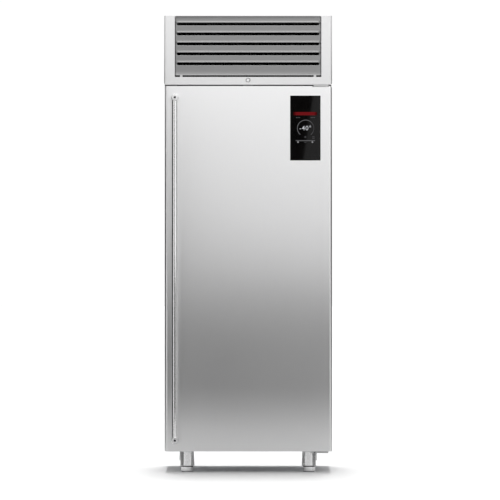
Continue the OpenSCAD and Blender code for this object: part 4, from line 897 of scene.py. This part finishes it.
# %% Air filter
FILTER_LOW = (-345.0, -304.0, 1812.0)
FILTER_HIGH = (345.0, -292.0, 2096.0)
FILTER_RIM = 8.0
PLEATS_INSET = 6.0
PLEAT_WIDTH = 6.0
PLEAT_DEPTH = 7.0
PAPER_THICKNESS = 0.6


def pleats():
    width = FILTER_HIGH[0] - FILTER_LOW[0] - 2 * PLEATS_INSET
    height = FILTER_HIGH[2] - FILTER_LOW[2] - 2 * PLEATS_INSET
    columns = round(width / PLEAT_WIDTH)
    bm = bmesh.new()
    bmesh.ops.create_grid(bm, x_segments=columns, y_segments=1, size=0.5)
    for v in bm.verts:
        fold_back = round((v.co.x + 0.5) * columns) % 2
        v.co = (v.co.x * width, v.co.y * height, -PLEAT_DEPTH * fold_back)
    bmesh.ops.recalc_face_normals(bm, faces=bm.faces)
    bmesh.ops.solidify(bm, geom=bm.faces[:], thickness=PAPER_THICKNESS)
    middle_z = (FILTER_LOW[2] + FILTER_HIGH[2]) / 2
    return lay(bm, (0, FILTER_LOW[1] + 2.5, middle_z), forward=True)


def filter_rim():
    (x0, y0, z0), (x1, y1, z1) = FILTER_LOW, FILTER_HIGH
    return merged(
        block((x0, y0, z0), (x1, y1, z0 + FILTER_RIM), 1.0),
        block((x0, y0, z1 - FILTER_RIM), (x1, y1, z1), 1.0),
        block((x0, y0, z0), (x0 + FILTER_RIM, y1, z1), 1.0),
        block((x1 - FILTER_RIM, y0, z0), (x1, y1, z1), 1.0),
    )


seat("filter_pleats", pleats(), "cabinet", shade_black_filter)
seat("filter_rim", filter_rim(), "cabinet", plastic_dark)

# %% [markdown]
# ## The bar handle
# A tube of 26 mm runs between two turned posts. Its ends are cut to a saddle that fits round each
# post. We move the tube's end loops onto the post's cylinder: across the tube at x from its
# middle, the post's surface is the root of r squared less x squared further along.

# %% Handle bar
BAR = corners_mm("handle_bar")
POST = corners_mm("handle_posts")
BAR_RADIUS = (BAR[1].x - BAR[0].x) / 2
BAR_X = (BAR[0].x + BAR[1].x) / 2
BAR_Y = (BAR[0].y + BAR[1].y) / 2
BAR_WALL = 2.0
POST_RADIUS = (POST[1].x - POST[0].x) / 2
POST_LOW_Z = POST[0].z + POST_RADIUS
POST_HIGH_Z = POST[1].z - POST_RADIUS
SADDLE_GAP = 0.05
SADDLE_LENGTH = 8.0


def handle_tube():
    bm = bmesh.new()
    bmesh.ops.create_cone(
        bm, cap_ends=False, segments=72, radius1=BAR_RADIUS, radius2=BAR_RADIUS, depth=2.0
    )
    for v in bm.verts:
        across = math.sqrt((POST_RADIUS + SADDLE_GAP) ** 2 - v.co.x**2)
        v.co.z = POST_LOW_Z + across if v.co.z < 0 else POST_HIGH_Z - across
    cut_level(bm, POST_LOW_Z + POST_RADIUS + SADDLE_LENGTH)
    cut_level(bm, POST_HIGH_Z - POST_RADIUS - SADDLE_LENGTH)
    bmesh.ops.translate(bm, vec=(BAR_X, BAR_Y, 0), verts=bm.verts)
    tidy(bm)
    bmesh.ops.solidify(bm, geom=bm.faces[:], thickness=BAR_WALL)
    return bm


seat("handle_tube", handle_tube(), "door", handle_steel, stands_for=["handle_bar"])

# %% [markdown]
# The posts come off a lathe: a plain stem, a soft shoulder, a flat face and a counterbore that
# hides the screw. The screw's socket is a six-sided hole, which we press into its head with an
# inset and an extrusion.

# %% Handle posts and screws
POST_FACE_Y = POST[0].y
DOOR_FACE_Y = POST[1].y
POST_LENGTH = DOOR_FACE_Y - POST_FACE_Y
BORE_RADIUS = 5.4
BORE_DEPTH = 11.0
SCREW_RADIUS = 5.0
SCREW_HEIGHT = 8.0
SCREW_SET_BACK = 7.0
SOCKET_HALF_WIDTH = 2.6
SOCKET_DEPTH = 3.5


def handle_post(z):
    bm = turned(
        [
            (0.0, 0.0), (POST_RADIUS, 0.0), (POST_RADIUS, POST_LENGTH - 2.2),
            (POST_RADIUS - 0.5, POST_LENGTH - 0.9), (POST_RADIUS - 1.6, POST_LENGTH - 0.2),
            (POST_RADIUS - 2.6, POST_LENGTH), (BORE_RADIUS + 0.5, POST_LENGTH),
            (BORE_RADIUS, POST_LENGTH - 0.5), (BORE_RADIUS, POST_LENGTH - BORE_DEPTH),
            (0.0, POST_LENGTH - BORE_DEPTH),
        ]
    )
    return lay(bm, (BAR_X, DOOR_FACE_Y, z), forward=True)


def socket_screw(z):
    bm = bmesh.new()
    bmesh.ops.create_cone(
        bm, cap_ends=True, segments=36, radius1=SCREW_RADIUS, radius2=SCREW_RADIUS, depth=SCREW_HEIGHT
    )
    top = max(bm.faces, key=lambda face: face.calc_center_median().z)
    bmesh.ops.inset_region(bm, faces=[top], thickness=2.0)
    pit = bmesh.ops.extrude_discrete_faces(bm, faces=[top])["faces"][0]
    for v in pit.verts:
        angle = math.atan2(v.co.y, v.co.x)
        sector = (angle % (math.pi / 3)) - math.pi / 6
        radius = SOCKET_HALF_WIDTH / math.cos(sector)
        v.co.x, v.co.y = radius * math.cos(angle), radius * math.sin(angle)
        v.co.z -= SOCKET_DEPTH
    tidy(bm)
    return lay(bm, (BAR_X, POST_FACE_Y + SCREW_SET_BACK, z), forward=True)


posts = merged(handle_post(POST_LOW_Z), handle_post(POST_HIGH_Z))
seat("turned_posts", posts, "door", lathe_steel, stands_for=["handle_posts"])
screws = merged(socket_screw(POST_LOW_Z), socket_screw(POST_HIGH_Z))
seat("post_screws", screws, "door", screw_black, stands_for=["handle_screws"])

# %% [markdown]
# ## The display
# One sheet of black glass with a polished edge lies almost flush in the door. What it shows is
# light, not paint, so the marks are thin shapes on the glass with a glow of their own: a red bar,
# a ring that is open below with the temperature in it, and a slider with a dot at each end.

# %% Display glass
GLASS = corners_mm("display_glass")
glass = block(GLASS[0], GLASS[1], 0.5)
seat("glass_sheet", glass, "door", display_black, stands_for=["display_glass"])

# %% [markdown]
# A lit mark is dark itself and only emits. Close up its light is a little uneven, which a fine
# noise gives. The bar's glow dies away towards both ends and the ring's towards one side, as the
# light of a few small lamps behind printed glass does.

# %% Glowing marks
SPARKLES_PER_METRE = 1400.0


def glowing(name, color, fade=()):
    """A lit mark. Each pair in fade gives two places on X in metres, where the glow dies away."""
    finish = Finish(name, (0.0, 0.0, 0.0), 0.9, Specular_IOR_Level=0.0, Emission_Strength=1.0)
    level = finish.noise(SPARKLES_PER_METRE, detail=0.0) * 0.25 + 0.75
    for start, end in fade:
        across = finish.node("ShaderNodeSeparateXYZ", inputs={0: finish.place()}, out="X")
        ramp = {"Value": across, "From Min": start, "From Max": end, "To Min": 1.0, "To Max": 0.25}
        level = level * finish.node("ShaderNodeMapRange", inputs=ramp)
    finish.set("Emission Color", finish.grade(level, (0.0, 0.0, 0.0), color))
    return finish.material


red_glow = glowing("red_glow", (0.165, 0.0085, 0.011), fade=((0.226, 0.212), (0.306, 0.318)))
ring_glow = glowing("ring_glow", (0.125, 0.125, 0.130), fade=((0.275, 0.312),))
grey_glow = glowing("grey_glow", (0.120, 0.120, 0.125))
dim_glow = glowing("dim_glow", (0.075, 0.075, 0.080))
dot_glow = glowing("dot_glow", (0.30, 0.30, 0.31))
white_glow = glowing("white_glow", (0.60, 0.61, 0.64))
report(red_glow, ring_glow, grey_glow, dim_glow, dot_glow, white_glow)

# %% [markdown]
# The photograph gives each mark's place in pixels. The camera was placed to the same scale, so a
# pixel turns into millimetres on the glass to within a few hundredths of a millimetre.

# %% Marks on the glass
PHOTO_PIXELS = 500
PIXEL = SHOT_WIDTH / PHOTO_PIXELS / MM
MARK_Y = GLASS[0].y
MARK_DEPTH = 0.06
MARK_ROOT = 0.02
MARK_EDGE = 0.02
GLASS_SCALE = (SHOT_DISTANCE + DOOR_Y - MARK_Y * MM) / SHOT_DISTANCE
DASH_WIDTH = 1.1
DASH_PITCH = 1.5
DOT_RADIUS = 3.9


def on_glass(column, row):
    x = SHOT_CENTRE[0] / MM + (column - PHOTO_PIXELS / 2) * PIXEL * GLASS_SCALE
    z = SHOT_CENTRE[1] / MM + (PHOTO_PIXELS / 2 - row) * PIXEL * GLASS_SCALE
    return x, z


def mark(name, left, top, right, bottom, material):
    """A bar between four lines of the photograph, in pixels."""
    low_x, high_z = on_glass(left, top)
    high_x, low_z = on_glass(right, bottom)
    low = (low_x, MARK_Y - MARK_DEPTH, low_z)
    high = (high_x, MARK_Y + MARK_ROOT, high_z)
    seat(name, block(low, high, MARK_EDGE), "door", material)


def dot(name, column, row, radius, material, hole=0.0):
    """A disc at a pixel, or a ring if it has a hole. Its radius is in millimetres."""
    x, z = on_glass(column, row)
    profile = [(hole, 0.0), (radius, 0.0), (radius, MARK_DEPTH), (hole, MARK_DEPTH)]
    if hole:
        profile.append(profile[0])
    bm = lay(turned(profile, 40), (x, MARK_Y, z), forward=True)
    seat(name, bm, "door", material)


mark("red_bar", 293.2, 112.0, 317.0, 115.3, red_glow)
for side, left in (("left", 296.0), ("right", 310.7)):
    for step in range(3):
        dash = left + step * DASH_PITCH
        mark(f"dash_{side}_{step}", dash, 117.1, dash + DASH_WIDTH, 118.0, dim_glow)
mark("slider_track", 295.6, 140.2, 315.0, 141.1, grey_glow)
dot("slider_dot_left", 298.0, 142.1, DOT_RADIUS, dot_glow)
dot("slider_dot_right", 312.4, 142.1, DOT_RADIUS, dot_glow)
mark("slider_note", 304.2, 141.9, 306.4, 142.5, dim_glow)
dot("small_icon", 305.3, 137.0, 4.2, dim_glow, hole=1.6)
mark("side_note_high", 312.2, 136.5, 314.6, 137.1, dim_glow)
mark("side_note_low", 312.2, 138.0, 314.6, 138.6, dim_glow)

# %% [markdown]
# The ring round the temperature is open at the bottom: a short line, spun through most of a turn.

# %% Gauge ring
RING_RADIUS = 38.2
RING_WIDTH = 3.6
RING_START = -50
RING_TURN = 280
RING_STEPS = 70


def gauge_ring(column, row):
    x, z = on_glass(column, row)
    bm = bmesh.new()
    ends = [bm.verts.new((RING_RADIUS + side * RING_WIDTH / 2, 0, 0)) for side in (-1, 1)]
    bmesh.ops.rotate(bm, matrix=Matrix.Rotation(math.radians(RING_START), 3, "Z"), verts=ends)
    bmesh.ops.spin(
        bm,
        geom=[*ends, bm.edges.new(ends)],
        axis=(0, 0, 1),
        cent=(0, 0, 0),
        angle=math.radians(RING_TURN),
        steps=RING_STEPS,
    )
    flat = bmesh.ops.extrude_face_region(bm, geom=bm.faces[:])["geom"]
    raised = [v for v in flat if isinstance(v, bmesh.types.BMVert)]
    bmesh.ops.translate(bm, vec=(0, 0, MARK_DEPTH), verts=raised)
    tidy(bm)
    return lay(bm, (x, MARK_Y, z), forward=True)


seat("gauge_ring", gauge_ring(305.6, 128.3), "door", ring_glow)

# %% [markdown]
# The temperature is a text object that becomes a mesh first and is laid on the glass after.

# %% Temperature
FIGURE_HEIGHT = 21.5
# a figure's height as a share of its font's size
FIGURE_SHARE = 0.73


def figures(name, text, column, row, material):
    x, z = on_glass(column, row)
    curve = bpy.data.curves.new(name, "FONT")
    curve.body = text
    curve.size = FIGURE_HEIGHT / FIGURE_SHARE
    curve.align_x = "CENTER"
    curve.align_y = "CENTER"
    curve.extrude = MARK_DEPTH / 2
    curve.offset = 0.1
    curve.space_character = 1.12
    curve.resolution_u = 4
    writing = bpy.data.objects.new(name + "_text", curve)
    mesh = bpy.data.meshes.new_from_object(writing)
    bpy.data.objects.remove(writing)
    bm = bmesh.new()
    bm.from_mesh(mesh)
    tidy(bm)
    lay(bm, (x, MARK_Y - MARK_DEPTH / 2, z), forward=True)
    seat(name, bm, "door", material)


figures("temperature", "-40\u00b0", 305.4, 128.3, white_glow)

# %% [markdown]
# ## The lock
# A round rosette with a rolled rim, and a plug with an upright key slot that turns in it. Both
# could be turned, but a lathe makes no slot, so the plug's face is a circle with the slot's loop
# inside it, filled between and extruded back.

# %% Lock rosette
ROSETTE = corners_mm("lock_housing")
PLUG = corners_mm("lock_plug")
LOCK_Z = (ROSETTE[0].z + ROSETTE[1].z) / 2
LOCK_FACE_Y = ROSETTE[0].y
ROSETTE_RADIUS = (ROSETTE[1].z - ROSETTE[0].z) / 2
PLUG_RADIUS = (PLUG[1].z - PLUG[0].z) / 2
BARREL_END = -27.0

rosette = turned(
    [
        (PLUG_RADIUS + 0.2, BARREL_END), (PLUG_RADIUS + 2.3, BARREL_END), (PLUG_RADIUS + 2.3, -6.2),
        (PLUG_RADIUS + 4.0, -6.2), (PLUG_RADIUS + 4.0, -3.2), (PLUG_RADIUS + 2.3, -3.2),
        (PLUG_RADIUS + 2.3, -2.0), (ROSETTE_RADIUS, -2.0),
        (ROSETTE_RADIUS - 0.5, -1.3), (ROSETTE_RADIUS - 1.2, -0.55), (ROSETTE_RADIUS - 1.8, -0.1),
        (ROSETTE_RADIUS - 2.1, 0.0), (ROSETTE_RADIUS - 2.4, -0.1), (ROSETTE_RADIUS - 3.0, -0.6),
        (ROSETTE_RADIUS - 3.8, -1.5), (PLUG_RADIUS + 0.4, -1.6), (PLUG_RADIUS + 0.2, -2.2),
        (PLUG_RADIUS + 0.2, BARREL_END),
    ],
    72,
)
seat(
    "lock_rosette", lay(rosette, (0, LOCK_FACE_Y, LOCK_Z), forward=True), "fascia",
    shaded_rosette_steel, stands_for=["lock_housing"],
)

# %% [markdown]
# A flat cam at the plug's back swings behind the strike when the plug is turned.

# %% Key plug
KEY_HALF_WIDTH = 1
KEY_HALF_HEIGHT = 4.5
KEY_DEPTH = 9.0
PLUG_DEPTH = 31.0
CAM_THICKNESS = 3.02
CAM_HALF_HEIGHT = 6


def key_plug():
    bm = bmesh.new()
    bmesh.ops.create_circle(bm, cap_ends=False, segments=64, radius=PLUG_RADIUS)
    rim = list(bm.edges)
    x, y = KEY_HALF_WIDTH, KEY_HALF_HEIGHT
    key = [bm.verts.new((a, b, 0)) for a, b in ((-x, -y), (x, -y), (x, y), (-x, y))]
    key_edges = [bm.edges.new((key[i], key[(i + 1) % 4])) for i in range(4)]
    bmesh.ops.triangle_fill(bm, use_beauty=True, edges=rim + key_edges, normal=(0, 0, 1))
    for edges, depth in ((rim, PLUG_DEPTH), (key_edges, KEY_DEPTH)):
        _, far_loop = drawn_out(bm, edges, (0, 0, -depth))
        bmesh.ops.contextual_create(bm, geom=far_loop)
    tidy(bm)
    lay(bm, (0, PLUG[0].y, LOCK_Z), forward=True)
    low = (-5, PLUG[1].y - CAM_THICKNESS, LOCK_Z - CAM_HALF_HEIGHT)
    high = (PLUG[1].x, PLUG[1].y, LOCK_Z + CAM_HALF_HEIGHT)
    return merged(bm, block(low, high, 0.8))


seat(
    "key_plug", key_plug(), "fascia_lock", lathe_steel,
    stands_for=["lock_plug"],
)

# %% [markdown]
# ## Legs
# Four tapered sleeves are fixed under the base, and in each a round foot screws up and down. Both
# are turned. The sleeve's lower lip is rolled in, and the foot has a groove just under that lip.

# %% Leg sleeves
SLEEVE_TOP = 96.0
SLEEVE_FOOT = 28.0
STUD_TOP = 110.0
SLEEVE_PROFILE = (
    (0.0, STUD_TOP), (5.2, STUD_TOP), (6.0, STUD_TOP - 0.8), (6.0, SLEEVE_TOP), (29.6, SLEEVE_TOP),
    (30.8, SLEEVE_TOP - 0.9), (33.8, SLEEVE_FOOT + 1.6), (33.6, SLEEVE_FOOT + 0.5),
    (33.0, SLEEVE_FOOT), (32.2, SLEEVE_FOOT + 0.2), (31.8, SLEEVE_FOOT + 1.0),
    (28.6, SLEEVE_TOP - 4.0), (12.0, SLEEVE_TOP - 4.0), (12.0, 66.0), (8.6, 66.0),
    (8.6, SLEEVE_TOP - 4.0), (0.0, SLEEVE_TOP - 4.0),
)
FOOT_SPOTS = {}
for spot in ("front_left", "front_right", "rear_left", "rear_right"):
    low, high = corners_mm("foot_" + spot)
    FOOT_SPOTS[spot] = ((low.x + high.x) / 2, (low.y + high.y) / 2)
print("feet stand at", FOOT_SPOTS)

sleeves = [lay(turned(SLEEVE_PROFILE, 72), (x, y, 0)) for x, y in FOOT_SPOTS.values()]
seat(
    "turned_sleeves", merged(*sleeves), "cabinet", turned_steel,
    stands_for=["leg_sleeves"],
)

# %% [markdown]
# Each foot rides on its own body, because each slides by itself when it is screwed out. It stands
# on a thin rubber glide, and a rubber ring sits in its groove. Both are dark and partly painted
# shade: the contact shadow under the foot and the shaded line under the sleeve's lip.

# %% Feet
FOOT = corners_mm("foot_rear_right")
FOOT_RADIUS = (FOOT[1].x - FOOT[0].x) / 2
STEM_TOP = FOOT[1].z
FOOT_PROFILE = (
    (0.0, 2.4), (FOOT_RADIUS - 1.6, 2.4), (FOOT_RADIUS - 0.6, 2.9), (FOOT_RADIUS - 0.1, 3.8),
    (FOOT_RADIUS, 5.0), (FOOT_RADIUS, 23.2), (FOOT_RADIUS - 0.6, 23.8), (FOOT_RADIUS - 4.0, 24.0),
    (FOOT_RADIUS - 4.0, 27.4), (FOOT_RADIUS - 0.6, 27.6), (FOOT_RADIUS, 28.2),
    (FOOT_RADIUS, 61.0), (FOOT_RADIUS - 1.0, 62.0), (8.0, 62.0), (8.0, STEM_TOP - 1.0),
    (7.0, STEM_TOP), (0.0, STEM_TOP),
)
# the dark glide is partly painted shade: it stands for the contact shadow under the foot
GLIDE_SHADE_PROFILE = (
    (0.0, 0.0), (FOOT_RADIUS - 3.4, 0.0), (FOOT_RADIUS - 2.2, 0.6), (FOOT_RADIUS - 1.8, 2.4),
    (0.0, 2.4),
)
# the dark ring is partly painted shade: it stands for the shaded gap under the sleeve's lip
RING_SHADE_PROFILE = (
    (FOOT_RADIUS - 4.0, 24.0), (FOOT_RADIUS - 1.6, 24.1), (FOOT_RADIUS - 1.0, 25.7),
    (FOOT_RADIUS - 1.6, 27.3), (FOOT_RADIUS - 4.0, 27.4), (FOOT_RADIUS - 4.0, 24.0),
)
for spot, (x, y) in FOOT_SPOTS.items():
    body = "foot_" + spot
    foot = lay(turned(FOOT_PROFILE, 72), (x, y, 0))
    seat("turned_" + body, foot, body, turned_steel, stands_for=[body])
    rubber = merged(turned(GLIDE_SHADE_PROFILE, 48), turned(RING_SHADE_PROFILE, 48))
    seat("foot_rubber_" + spot, lay(rubber, (x, y, 0)), body, rubber_dark)

# %% [markdown]
# ## Panel screws
# The sheets at the back and the fan panel inside are held by pan-head screws. One head is a small
# turned dome with a pit in its middle, whose corners we pull out to a cross. It is cheap enough
# to repeat: 24 steps round and a handful of rings.

# %% Screw heads
HEAD_STEPS = 24
HEAD_PROFILE = (
    (0.0, 0.7), (1.1, 0.7), (1.9, 2.1), (2.9, 2.0), (4.1, 1.4), (4.6, 0.5), (4.7, 0.0), (0.0, 0.0)
)
CROSS_INNER = 0.5
CROSS_OUTER = 2.3
CROSS_FLOOR = 0.5


def pan_head():
    bm = turned(HEAD_PROFILE, HEAD_STEPS)
    for v in bm.verts:
        radius = v.co.to_2d().length
        if CROSS_INNER < radius < CROSS_OUTER and v.co.z > CROSS_FLOOR:
            angle = math.atan2(v.co.y, v.co.x)
            v.co.xy *= 0.62 + 0.5 * abs(math.cos(2 * angle)) ** 3
    return bm


def screw_rows(y, turn, *rows):
    """Heads on a sheet at y, turned about X by so many degrees from facing up."""
    matrix = Matrix.Rotation(math.radians(turn), 3, "X")
    heads = []
    for xs, zs in rows:
        for spot in ((x, y, z) for x in xs for z in zs):
            head = pan_head()
            bmesh.ops.rotate(head, matrix=matrix, cent=(0, 0, 0), verts=head.verts)
            heads.append(lay(head, spot))
    print(len(heads), "screws at y", y)
    return merged(*heads)


# %% [markdown]
# They stand in rows along the edges of each sheet.

# %% Panel screws
back = screw_rows(
    corners_mm("back_panel")[1].y,
    -90,
    ((-374, 374), (112, 388, 664, 940, 1216, 1492, 1776)),
    ((-187, 187), (112, 1776)),
    ((-374, 0, 374), (1808, 2104)),
)
seat("back_screws", back, "cabinet", lathe_steel)
inside = screw_rows(corners_mm("fan_panel")[0].y, 90, ((-308, 308), (222, 702, 1182, 1662)))
seat("fan_panel_screws", inside, "cabinet", lathe_steel)
